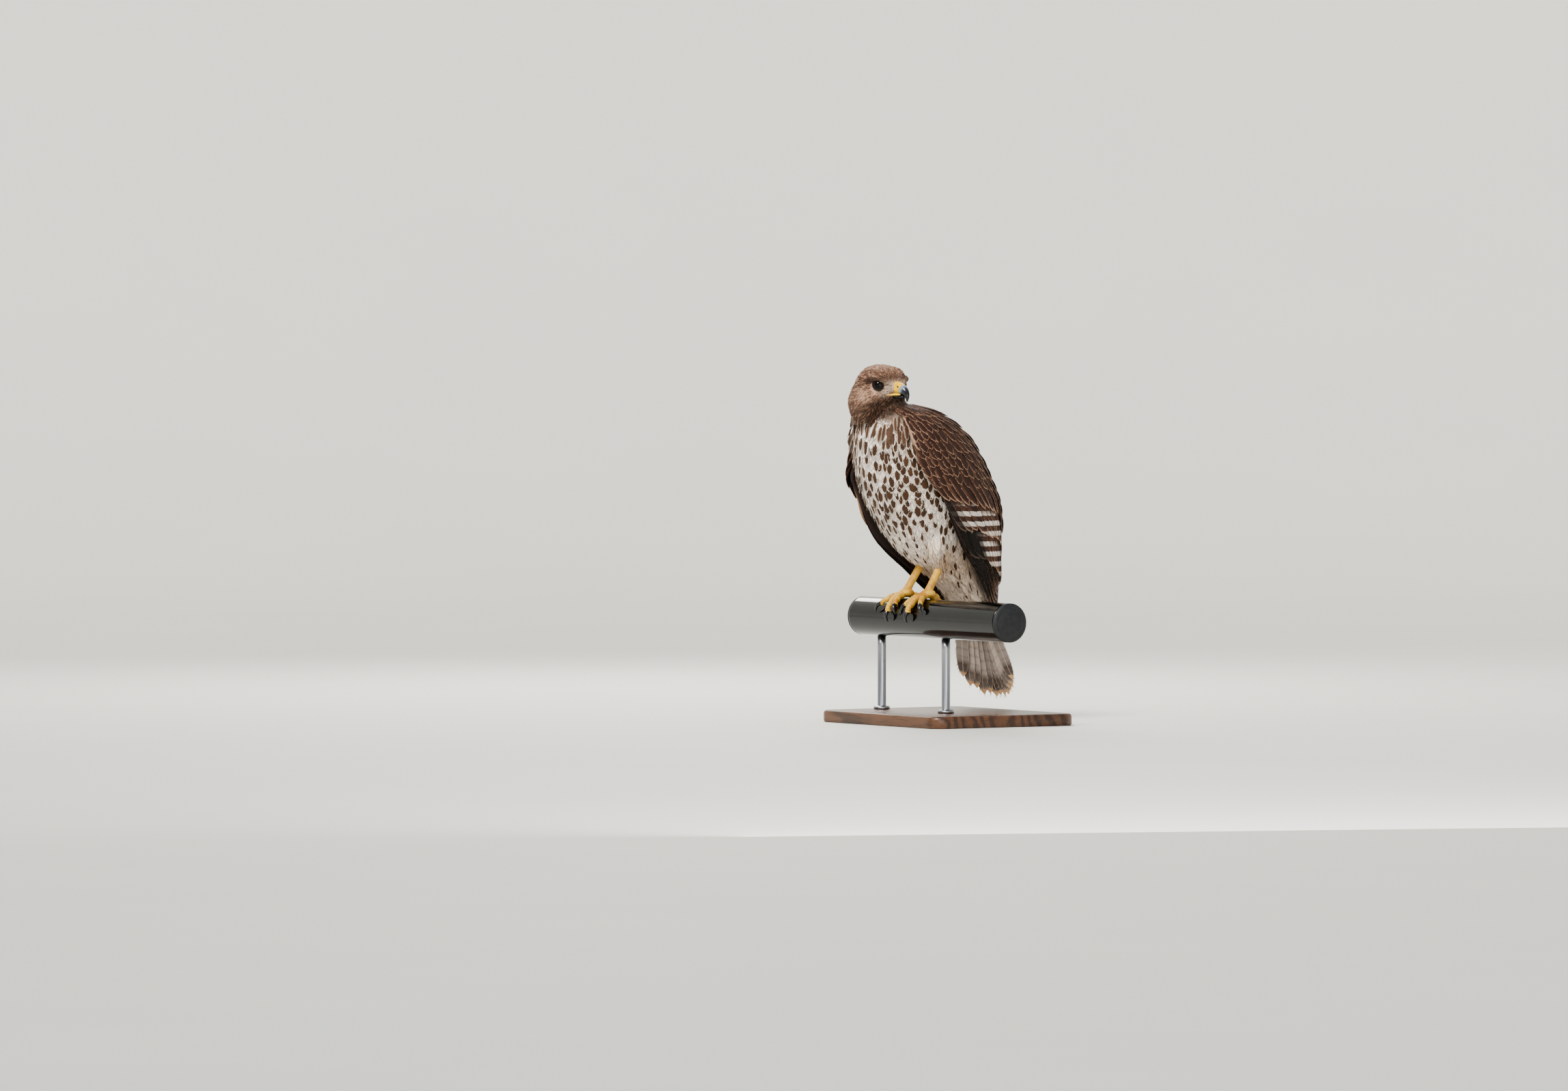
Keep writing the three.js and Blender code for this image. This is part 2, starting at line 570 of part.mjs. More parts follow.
// The feathered thigh, in the rail's axes, from inside the belly down to where the bare shank begins.
function thighSolid(side, grow = 0) {
  const { foot, heel } = legPath(side);
  const hem = foot.clone().lerp(heel, 0.5);
  const footX = FOOT_X[side];
  const top = new THREE.Vector3(footX + Math.sign(footX - 6) * 6, 16, 124);
  const mid = top.clone().lerp(hem, 0.55);
  mid.y -= 7;
  const radii = [[0, 22], [0.5, 18.5], [0.85, 10], [1, 5.8]].map(([t, r]) => ({ t, r: r + grow }));
  if (grow > 0) hem.addScaledVector(hem.clone().sub(mid).normalize(), grow);
  return limb([top, mid, hem], radii, 12, 7);
}

// The stand and the cut length of rail, in the row's frame.
function baseSolid() {
  const { long, wide, high, corner, chamfer } = BASE;
  const [x, y] = [long / 2 - chamfer, wide / 2 - chamfer];
  const shape = new THREE.Shape();
  shape.moveTo(-x + corner, -y);
  shape.lineTo(x - corner, -y);
  shape.absarc(x - corner, -y + corner, corner, -Math.PI / 2, 0);
  shape.lineTo(x, y - corner);
  shape.absarc(x - corner, y - corner, corner, 0, Math.PI / 2);
  shape.lineTo(-x + corner, y);
  shape.absarc(-x + corner, y - corner, corner, Math.PI / 2, Math.PI);
  shape.lineTo(-x, -y + corner);
  shape.absarc(-x + corner, -y + corner, corner, Math.PI, 1.5 * Math.PI);
  const bevel = { bevelThickness: chamfer, bevelSize: chamfer, bevelSegments: 1, curveSegments: 4 };
  return new THREE.ExtrudeGeometry(shape, { depth: high - 2 * chamfer, ...bevel }).translate(0, 0, chamfer);
}

function rodSolid(x) {
  const [low, high] = [BASE.high + GAP, RAIL_HEIGHT];
  const rod = new THREE.CylinderGeometry(ROD.radius, ROD.radius, high - low, 20).rotateX(Math.PI / 2);
  const at = rod.translate(PERCH_AT.x + x, PERCH_AT.y, (low + high) / 2);
  const rail = new THREE.CylinderGeometry(RAIL_R + GAP, RAIL_R + GAP, 60, 40).rotateZ(Math.PI / 2);
  return solid(at).subtract(solid(rail.translate(PERCH_AT.x + x, PERCH_AT.y, RAIL_HEIGHT)));
}

function railGeometry() {
  const rail = new THREE.CylinderGeometry(RAIL_R, RAIL_R, RAIL_TO - RAIL_FROM, 40).rotateZ(Math.PI / 2);
  return rail.translate(PERCH_AT.x + (RAIL_FROM + RAIL_TO) / 2, PERCH_AT.y, PERCH_AT.z);
}

// A moulded plug on a cut end: a thin rim as wide as the rail under a low dome.
function plugGeometry(end) {
  const profile = [
    [0, 0], [RAIL_R, 0], [RAIL_R, 1.6], [RAIL_R - 2.2, 3.2], [RAIL_R * 0.5, PLUG_WALL + 0.6], [0, PLUG_WALL + 1],
  ];
  const lathe = new THREE.LatheGeometry(profile.map(([r, h]) => new THREE.Vector2(r, h)), 28);
  const way = end > 0 ? 1 : -1;
  lathe.rotateZ((-Math.PI / 2) * way);
  return lathe.translate(PERCH_AT.x + end + way * GAP, PERCH_AT.y, PERCH_AT.z);
}

// Materials, by slot.
const paint = (color, roughness, metalness = 0) => new THREE.MeshStandardMaterial({ color, roughness, metalness });
const MATERIALS = {
  plumage: paint(0xd9c7b4, 0.85),
  head_plumage: paint(0x7a5a46, 0.85),
  wing_plumage: paint(0x4e372b, 0.8),
  tail_plumage: paint(0xb7a79a, 0.8),
  leg_skin: paint(0xe0a63c, 0.55),
  cere_skin: paint(0xf0c62e, 0.45),
  horn: paint(0x23262e, 0.3),
  eye: paint(0x0d0b0a, 0.06),
  rail_paint: paint(0x14171a, 0.3, 0.2),
  plug_plastic: paint(0x17191b, 0.6),
  base_wood: paint(0x4a3020, 0.5),
  rod_steel: paint(0xb4b6b8, 0.35, 0.9),
};

const hawk = new THREE.Group();

// Adds a node. Bird nodes in the body frame are turned on the rail, and those in the rail's axes only moved.
function add(name, shape, slot, frame) {
  const mesh = new THREE.Mesh(shape.isBufferGeometry ? shape : geometryOf(shape), MATERIALS[slot]);
  mesh.name = name;
  if (frame !== "row") mesh.position.copy(PERCH_AT);
  if (frame === "body") mesh.rotation.z = BODY_TURN;
  hawk.add(mesh);
}

const turned = (piece) => piece.rotate([0, 0, THREE.MathUtils.radToDeg(BODY_TURN)]);
const headPlaced = (piece) => {
  const turn = new THREE.Matrix4().makeRotationZ(HEAD_TURN)
    .multiply(new THREE.Matrix4().makeRotationX(HEAD_NOD)).setPosition(HEAD_AT);
  return piece.transform([...turn.elements]);
};

// Whole forms first, each cut by what it meets, so that a thin gap parts them.
const torsoWhole = slicedSolid(TORSO_SLICES, 0, 24, 14, SQUARE.torso);
const torsoWide = slicedSolid(TORSO_SLICES, GAP + 0.15, 24, 14, SQUARE.torso);
const neckWhole = slicedSolid(NECK_SLICES, 0, 22, 6, SQUARE.neck);
const neckWide = slicedSolid(NECK_SLICES, GAP + 0.15, 22, 6, SQUARE.neck);
const face = billSolids(headSolid());
const headWhole = headPlaced(face.head);
const headCore = headPlaced(slicedSolid(HEAD_SLICES, GAP + 0.15, 24, 10, SQUARE.head));
const tailWhole = tailVanes();

const upperBody = torsoWhole.add(neckWhole);
add("torso", upperBody.subtract(slab(TORSO_CUT, 400)), "plumage", "body");
add("neck", upperBody.subtract(headCore).subtract(slab(-400, TORSO_CUT + GAP)), "plumage", "body");
add("head", headWhole.subtract(slab(-400, HEAD_CUT)), "head_plumage", "body");
add("cere", headPlaced(face.cere), "cere_skin", "body");
add("bill_upper", headPlaced(face.hook), "horn", "body");
add("bill_lower", headPlaced(face.lower), "horn", "body");
add("eye_left", headPlaced(eyeSolid(1)), "eye", "body");
add("eye_right", headPlaced(eyeSolid(-1)), "eye", "body");

const tail = tailWhole.subtract(torsoWide);
add("tail", tail, "tail_plumage", "body");

// What the wings keep clear of: the thighs, and the room where the undertail feathers and the tail leave the body.
const unturned = (piece) => piece.rotate([0, 0, -THREE.MathUtils.radToDeg(BODY_TURN)]);
const thighsInBody = ["left", "right"].map((side) => unturned(thighSolid(side, GAP + 0.15)));
const tailSpace = slicedSolid([
  { z: 62, x: 0, front: 84, back: 107, w: 24 }, { z: 20, x: 0, front: 92, back: 116, w: 27 },
  { z: -20, x: 0, front: 100, back: 130, w: 31 },
], 0, 16, 3, 2.6);
["left", "right"].forEach((side) => {
  const slices = mantleSlices(side);
  const back = side === "left" ? 0 : LOOSE.turn;
  const core = slicedSolid(slices, -1.6, 22, 11, SQUARE.mantle).intersect(wingOutline(side));
  const whole = joined([core, ...TIERS.flatMap((tier) => tierVanes(slices, tier, back))]).subtract(backStrip());
  const placed = side === "left" ? whole : whole.mirror([1, 0, 0]);
  const wing = without(placed, [tailSpace, torsoWide, neckWide, headCore, ...thighsInBody]);
  add("wing_" + side, wing, "wing_plumage", "body");
});

const torsoTurned = turned(torsoWide);
["left", "right"].forEach((side) => {
  const thigh = thighSolid(side);
  add("thigh_" + side, without(thigh, [torsoTurned]), "plumage", "rail");
  const { foot, claws } = footSolids(side);
  const shank = shankSolid(side, 0.08, 0.5);
  add("shank_" + side, without(shank, [foot, thighSolid(side, GAP + 0.15), torsoTurned]), "leg_skin", "rail");
  add("foot_" + side, foot, "leg_skin", "rail");
  for (const [toe, claw] of Object.entries(claws)) {
    add(`claw_${side}_${toe}`, claw.subtract(foot), "horn", "rail");
  }
});

add("perch_rail", railGeometry(), "rail_paint", "row");
add("perch_plug_left", plugGeometry(RAIL_TO), "plug_plastic", "row");
add("perch_plug_right", plugGeometry(RAIL_FROM), "plug_plastic", "row");
add("stand_base", baseSolid(), "base_wood", "row");
add("stand_rod_left", rodSolid(ROD.offset), "rod_steel", "row");
add("stand_rod_right", rodSolid(-ROD.offset), "rod_steel", "row");

export default hawk;
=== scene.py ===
"""A young red-shouldered hawk gripping a short length of black gate rail on a plain walnut display stand.

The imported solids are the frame. One skin replaces the solids of flesh, feather vanes lie over it in the
order they grow, and the eyes, bill, legs, claws, rail and stand are pieces of their own. Lengths in this file
are millimetres in the bird's body frame unless a name says otherwise: -Y is the way the breast faces, +X is
the bird's left and the origin lies on the rail's centreline between the feet.
"""

import logging
import math
from collections.abc import Callable
from dataclasses import dataclass, field
from enum import Enum

import bmesh
import bpy
import numpy as np
from mathutils import Matrix, Vector


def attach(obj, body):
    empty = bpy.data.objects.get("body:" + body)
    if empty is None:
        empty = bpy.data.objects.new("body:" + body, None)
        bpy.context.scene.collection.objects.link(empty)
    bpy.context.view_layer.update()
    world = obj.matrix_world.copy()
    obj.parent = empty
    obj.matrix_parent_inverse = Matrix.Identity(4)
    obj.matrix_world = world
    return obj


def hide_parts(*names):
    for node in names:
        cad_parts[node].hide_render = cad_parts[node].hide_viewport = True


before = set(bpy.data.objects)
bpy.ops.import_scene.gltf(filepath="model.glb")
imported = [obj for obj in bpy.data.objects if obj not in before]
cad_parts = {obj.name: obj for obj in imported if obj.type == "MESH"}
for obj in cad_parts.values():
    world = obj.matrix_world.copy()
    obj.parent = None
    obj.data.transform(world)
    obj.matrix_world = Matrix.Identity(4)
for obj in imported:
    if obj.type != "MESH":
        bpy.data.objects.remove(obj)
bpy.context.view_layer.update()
log = logging.getLogger("hawk")
logging.basicConfig(level=logging.INFO, format="%(name)s: %(message)s")

MM = 0.001
SEED = 41
SIDES = {"left": 1, "right": -1}
# The pale bars of the secondaries are 12 mm apart.
BAR_WAVE = 2 * math.pi / (12.0 * MM)
RAIL_R = 22.5
RAIL_FROM, RAIL_TO = -105.0, 200.0
PERCH_AT = np.array([-25.0, -30.0, 122.0])
BODY_TURN, HEAD_TURN, HEAD_NOD = math.radians(13), math.radians(85), math.radians(3)
HEAD_AT = np.array([3.0, -56.0, 265.0])
EYE_R, EYE_FORWARD, EYE_SIDE, EYE_UP = 7.6, 13.2, 15.8, 6.0
LID_TILT = math.radians(10)
FOOT_X = {"left": 29.0, "right": -17.0}
HEEL_Y, HEEL_Z, SHANK_R = 37.0, 90.0, 4.2
BASE_LONG, BASE_WIDE, BASE_HIGH = 250.0, 196.0, 14.0
ROD_R, ROD_OFFSET = 5.0, 68.0

# Rows of height z, sideways shift, front limit, back limit and half width.
TORSO = [(240, -4, -74, -2, 38), (226, -3, -75, 20, 52), (208, -1, -75, 36, 60), (186, 0, -71, 48, 63),
         (162, 0, -64, 60, 64), (138, 0, -53, 72, 63), (114, 0, -39, 82, 58), (92, 0, -22, 88, 50),
         (74, 0, -3, 92, 42), (56, 0, 24, 97, 34), (36, 0, 50, 102, 29), (16, 0, 72, 108, 25),
         (-4, 0, 88, 113, 20)]
MANTLE = [(250, 0, -66, -20, 27), (240, 0, -66, 2, 45), (226, 0, -72, 28, 60), (208, 0, -78, 50, 70),
          (186, 0, -75, 67, 75), (162, 0, -68, 81, 78), (138, 0, -56, 94, 78), (114, 0, -42, 101, 74),
          (92, 0, -25, 105, 68), (74, 0, -6, 109, 62), (56, 0, 20, 112, 55), (36, 0, 44, 115, 47),
          (16, 0, 66, 119, 39), (-4, 0, 84, 123, 31)]
NECK = [(262, 1, -78, -38, 22), (250, -2, -80, -24, 33), (238, -5, -78, -6, 43), (226, -3, -75, 18, 51),
        (214, -2, -70, 24, 50)]
HEAD = [(29.6, 0, -2, 6, 4), (27.5, 0, -12, 15, 13), (22.5, 0, -20, 24, 20), (14, 0, -26.5, 31, 25.5),
        (5, 0, -29, 35, 27), (-5, 0, -29, 37, 28.5), (-15, 0, -26, 37.5, 30), (-25, 0, -20, 37, 30),
        (-34, 0, -13, 34, 26)]
# The right wing hangs loose below and is tucked in and turned back at the shoulder.
LOOSE_FROM, LOOSE_FULL, LOOSE_FORWARD, LOOSE_OUT = 150.0, 84.0, 14.0, 6.0
TUCK_FROM, TUCK_FULL, TUCK_IN, TUCK_TURN = 160.0, 190.0, 9.5, 14.0
EYE_AXIS = (0.86, -0.5, 0.02)
BROW = [(10.5, -25.5, 9.6), (17.6, -21, 12.6), (22.6, -12.5, 13.6), (24.4, -1, 11.6)]


def srgb(red: float, green: float, blue: float) -> tuple[float, float, float]:
    """Turns 0 to 255 display values into linear ones."""
    return tuple(((c / 255) / 12.92 if c <= 10 else ((c / 255 + 0.055) / 1.055) ** 2.4)
                 for c in (red, green, blue))


class Tone(Enum):
    """Plumage and skin colours, as display values."""
    WHITE = (243, 234, 225)
    CREAM = (222, 202, 178)
    BUFF = (196, 158, 118)
    RUFOUS = (150, 98, 62)
    BROWN = (84, 57, 44)
    MARK = (76, 54, 38)
    DARK = (54, 35, 28)
    FRINGE = (206, 168, 142)
    BLACKISH = (22, 17, 15)
    HEAD_BROWN = (126, 96, 78)
    HEAD_PALE = (214, 176, 150)
    LORE = (192, 172, 154)
    THROAT = (48, 34, 22)
    GREY = (150, 140, 132)

    @property
    def linear(self) -> np.ndarray:
        """The colour in linear light."""
        return np.array(srgb(*self.value))


@dataclass(frozen=True)
class Finish:
    """How a plain procedural surface looks."""
    name: str
    color: tuple[float, float, float]
    deep: tuple[float, float, float]
    roughness: float
    metallic: float = 0.0
    coat: float = 0.0
    scale: float = 120.0
    bump: float = 0.15
    stretch: tuple[float, float, float] = (1, 1, 1)


class Pose:
    """A rigid placement: local millimetres to the row's."""

    def __init__(self, matrix: np.ndarray, at: np.ndarray) -> None:
        """Keeps the turn and the place."""
        self.matrix, self.at = matrix, at

    def points(self, local: np.ndarray) -> np.ndarray:
        """Places points."""
        return local @ self.matrix.T + self.at

    def local(self, placed: np.ndarray) -> np.ndarray:
        """The local points of placed ones."""
        return (placed - self.at) @ self.matrix

    def turn(self, vectors: np.ndarray) -> np.ndarray:
        """Turns vectors."""
        return vectors @ self.matrix.T

    def then(self, outer: "Pose") -> "Pose":
        """This placement inside another."""
        return Pose(outer.matrix @ self.matrix, outer.points(self.at[None])[0])


def turn_z(angle: float) -> np.ndarray:
    """A turn about the vertical axis."""
    c, s = math.cos(angle), math.sin(angle)
    return np.array([[c, -s, 0], [s, c, 0], [0, 0, 1.0]])


def turn_x(angle: float) -> np.ndarray:
    """A turn about the X axis."""
    c, s = math.cos(angle), math.sin(angle)
    return np.array([[1.0, 0, 0], [0, c, -s], [0, s, c]])


RAIL = Pose(np.eye(3), PERCH_AT)
BODY = Pose(turn_z(BODY_TURN), PERCH_AT)
SKULL = Pose(turn_z(HEAD_TURN) @ turn_x(HEAD_NOD), HEAD_AT)
HEAD_POSE = SKULL.then(BODY)


def unit(vectors: np.ndarray) -> np.ndarray:
    """Vectors at length one."""
    return vectors / np.maximum(np.linalg.norm(vectors, axis=-1, keepdims=True), 1e-9)


def smooth(low: float, high: float, x: np.ndarray) -> np.ndarray:
    """A smooth step from 0 at low to 1 at high, which may lie either way round."""
    t = np.clip((x - low) / (high - low), 0, 1)
    return t * t * (3 - 2 * t)


class Form:
    """A form given by horizontal slices, each a rounded superellipse."""

    def __init__(self, rows: list[tuple], square: float) -> None:
        """Reads the slices.

        Args:
            rows: Height, sideways shift, front limit, back limit and half width of each.
            square: The superellipse's power; 2 is an ellipse.
        """
        table = np.array(sorted(rows), float)
        self.z, self.values, self.power = table[:, 0], table[:, 1:], 2 / square
        slopes = np.zeros_like(self.values)
        last = len(self.z) - 1
        for k in range(last + 1):
            low, high = max(0, k - 1), min(last, k + 1)
            slopes[k] = (self.values[high] - self.values[low]) / (self.z[high] - self.z[low])
        self.slopes = slopes

    def at(self, z: np.ndarray) -> np.ndarray:
        """The slices' values between their rows.

        Args:
            z: Heights.

        Returns:
            Shift, front, back and half width at each height.
        """
        z = np.clip(z, self.z[0], self.z[-1])
        i = np.clip(np.searchsorted(self.z, z, side="right") - 1, 0, len(self.z) - 2)
        span = (self.z[i + 1] - self.z[i])[..., None]
        t = ((z - self.z[i])[..., None]) / span
        a, b, sa, sb = self.values[i], self.values[i + 1], self.slopes[i], self.slopes[i + 1]
        return ((2 * t**3 - 3 * t**2 + 1) * a + (3 * t**2 - 2 * t**3) * b
                + span * ((t**3 - 2 * t**2 + t) * sa + (t**3 - t**2) * sb))

    def point(self, angle: np.ndarray, z: np.ndarray, grow: float = 0.0) -> np.ndarray:
        """Surface points.

        Args:
            angle: 0 at the front, a quarter turn at the left side and a half turn at the back.
            z: Heights.
            grow: How far outside the form they lie.

        Returns:
            The points.
        """
        shift, front, back, wide = np.moveaxis(self.at(z), -1, 0)
        front, back, wide = front - grow, back + grow, wide + grow
        s, c = np.sin(angle), np.cos(angle)
        x = shift + wide * np.sign(s) * np.abs(s) ** self.power
        y = (front + back) / 2 - (back - front) / 2 * np.sign(c) * np.abs(c) ** self.power
        return np.stack([x, y, np.broadcast_to(z, x.shape)], -1)

    def normal(self, angle: np.ndarray, z: np.ndarray) -> np.ndarray:
        """Outward normals.

        Args:
            angle: Angles of the points.
            z: Their heights.

        Returns:
            The normals.
        """
        along = self.point(angle + 0.02, z) - self.point(angle - 0.02, z)
        up = self.point(angle, z + 2) - self.point(angle, z - 2)
        return unit(np.cross(along, up))


TORSO_FORM, NECK_FORM, HEAD_FORM = Form(TORSO, 2.3), Form(NECK, 2.2), Form(HEAD, 2.1)


def mantle_form(side: str) -> Form:
    """The wings' outer surface.

    Args:
        side: Whose wing it is.

    Returns:
        The form as it lies on the left; the right one is mirrored after.
    """
    rows = []
    right = float(side == "right")
    for z, x, front, back, wide in MANTLE:
        loose = right * float(smooth(LOOSE_FROM, LOOSE_FULL, np.array(float(z))))
        tuck = right * TUCK_IN * float(smooth(TUCK_FROM, TUCK_FULL, np.array(float(z))))
        rows.append((z, x, front - LOOSE_FORWARD * loose, back, wide + LOOSE_OUT * loose - tuck))
    return Form(rows, 2.55)


# Mesh building

def link(name: str, mesh: bpy.types.Mesh, material: bpy.types.Material) -> bpy.types.Object:
    """Adds a finished mesh as a piece that rides on the one body.

    Args:
        name: The piece's name.
        mesh: Its mesh, in metres in the row's frame.
        material: Its material.

    Returns:
        The new object.
    """
    obj = bpy.data.objects.new(name, mesh)
    bpy.context.scene.collection.objects.link(obj)
    mesh.materials.clear()
    mesh.materials.append(material)
    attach(obj, "root")
    log.info("%s: %d faces", name, len(mesh.polygons))
    return obj


def mesh_from(name: str, points: np.ndarray, faces: list) -> bpy.types.Mesh:
    """A smooth mesh.

    Args:
        name: Its name.
        points: Its points, in the row's millimetres.
        faces: Its faces, of any number of corners.

    Returns:
        The mesh.
    """
    mesh = bpy.data.meshes.new(name)
    mesh.from_pydata((points * MM).tolist(), [], faces)
    mesh.update()
    mesh.shade_smooth()
    return mesh


def fix_normals(mesh: bpy.types.Mesh) -> None:
    """Makes a closed mesh's faces point out.

    Args:
        mesh: The mesh.
    """
    bm = bmesh.new()
    bm.from_mesh(mesh)
    bmesh.ops.recalc_face_normals(bm, faces=bm.faces)
    bm.to_mesh(mesh)
    bm.free()


def set_values(mesh: bpy.types.Mesh, name: str, values: np.ndarray) -> None:
    """Gives every point of a mesh a number, a vector or a colour.

    Args:
        mesh: The mesh.
        name: The attribute's name.
        values: One row for each point, of one, three or four numbers.
    """
    kind, key = {1: ("FLOAT", "value"), 3: ("FLOAT_VECTOR", "vector"),
                 4: ("FLOAT_COLOR", "color")}[1 if values.ndim == 1 else values.shape[1]]
    mesh.attributes.new(name, kind, "POINT").data.foreach_set(key, values.astype(np.float32).ravel())


def opaque(colors: np.ndarray) -> np.ndarray:
    """Colours with an alpha of one."""
    return np.concatenate([colors, np.ones((len(colors), 1))], 1)


def closed_piece(name: str, shape: tuple[np.ndarray, list], material: bpy.types.Material, slot: str,
                 *nodes: str,
                 **values: np.ndarray) -> None:
    """Makes one closed piece.

    Args:
        name: Its name.
        shape: Its points, in the row's millimetres, and its faces.
        material: Its material.
        slot: Not used.
        *nodes: The solids that it replaces.
        **values: Attributes of its points.
    """
    mesh = mesh_from(name, *shape)
    fix_normals(mesh)
    for key, value in values.items():
        set_values(mesh, key, value)
    obj = link(name, mesh, material)
    if nodes:
        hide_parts(*nodes)


def ring_faces(rings: int, around: int) -> list:
    """Faces between rings of points.

    Args:
        rings: How many rings there are.
        around: How many points each has.

    Returns:
        Quads, and one face over each end.
    """
    faces = []
    for r in range(rings - 1):
        for i in range(around):
            j = (i + 1) % around
            a, b = r * around + i, r * around + j
            faces.append((a, b, b + around, a + around))
    faces.append(tuple(reversed(range(around))))
    faces.append(tuple((rings - 1) * around + i for i in range(around)))
    return faces


def merged(shapes: list[tuple[np.ndarray, list]]) -> tuple[np.ndarray, list]:
    """Several shapes as one.

    Args:
        shapes: Points and faces of each.

    Returns:
        All their points and faces.
    """
    faces, start = [], 0
    for points, own in shapes:
        faces += [tuple(i + start for i in face) for face in own]
        start += len(points)
    return np.concatenate([points for points, _ in shapes]), faces


def turned(stations: list[tuple[float, float]], centre: np.ndarray, around: int,
           upright: bool = False) -> list[np.ndarray]:
    """Rings about an axis, as on a lathe.

    Args:
        stations: Each ring's place along the axis, and its radius.
        centre: A point of the axis.
        around: Points in each ring.
        upright: Whether the axis is Z and not X.

    Returns:
        The rings.
    """
    a = np.linspace(0, 2 * np.pi, around, endpoint=False)
    rings = [np.stack([np.full(around, s), r * np.cos(a), r * np.sin(a)], 1) for s, r in stations]
    return [centre + (np.roll(ring, -1, axis=1) if upright else ring) for ring in rings]


def catmull(points: np.ndarray, steps: int) -> np.ndarray:
    """A smooth curve through points.

    Args:
        points: What it passes through.
        steps: How many points it gets.

    Returns:
        Its points, evenly spaced along it.
    """
    p = np.vstack([2 * points[0] - points[1], points, 2 * points[-1] - points[-2]])
    out = []
    for k in range(1, len(p) - 2):
        for t in np.linspace(0, 1, 24, endpoint=False):
            a, b, c, d = p[k - 1], p[k], p[k + 1], p[k + 2]
            out.append(0.5 * (2 * b + (c - a) * t + (2 * a - 5 * b + 4 * c - d) * t**2
                              + (3 * b - a - 3 * c + d) * t**3))
    out.append(points[-1])
    out = np.array(out)
    far = np.concatenate([[0], np.cumsum(np.linalg.norm(np.diff(out, axis=0), axis=1))])
    even = np.linspace(0, far[-1], steps)
    return np.stack([np.interp(even, far, out[:, k]) for k in range(3)], 1)


def tube(path: np.ndarray, radius: np.ndarray, sides: int, up: np.ndarray,
         relief: Callable | None = None) -> tuple[np.ndarray, list]:
    """A closed tube about a path.

    Args:
        path: Points along its centre.
        radius: Its radius at each point.
        sides: Points round it.
        up: The direction of its first side.
        relief: Optional function of share along and angle round, giving an added radius.

    Returns:
        Its points and faces.
    """
    run = unit(np.gradient(path, axis=0))
    across = unit(np.cross(run, up))
    rise = unit(np.cross(across, run))
    share = np.linspace(0, 1, len(path))[:, None]
    angle = np.linspace(0, 2 * np.pi, sides, endpoint=False)[None]
    r = radius[:, None] + (relief(share, angle) if relief else 0)
    points = path[:, None] + r[..., None] * (np.cos(angle)[..., None] * rise[:, None]
                                             + np.sin(angle)[..., None] * across[:, None])
    return points.reshape(-1, 3), ring_faces(len(path), sides)


def spread(count: int, keys: list[float], values: list[float]) -> np.ndarray:
    """Values at even shares of the way, between those given at some shares."""
    return np.interp(np.linspace(0, 1, count), keys, values)


def grid_places(index: np.ndarray, side: int) -> np.ndarray:
    """The middles of a square grid's cells, for a bake map."""
    return (np.stack([index % side, index // side], 1) + 0.5) / side


# Materials

class Signal:
    """A number or colour that runs through a material's graph, so that finishes read as sums."""

    def __init__(self, graph: "Graph", socket: bpy.types.NodeSocket) -> None:
        """Wraps a node's output."""
        self.graph, self.socket = graph, socket

    def __add__(self, other: "Input") -> "Signal":
        """Their sum."""
        return self.graph.math("ADD", self, other)

    def __sub__(self, other: "Input") -> "Signal":
        """This less the other."""
        return self.graph.math("SUBTRACT", self, other)

    def __mul__(self, other: "Input") -> "Signal":
        """Their product."""
        return self.graph.math("MULTIPLY", self, other)

    def __abs__(self) -> "Signal":
        """Its size without its sign."""
        return self.graph.math("ABSOLUTE", self)


Input = Signal | float | tuple | np.ndarray


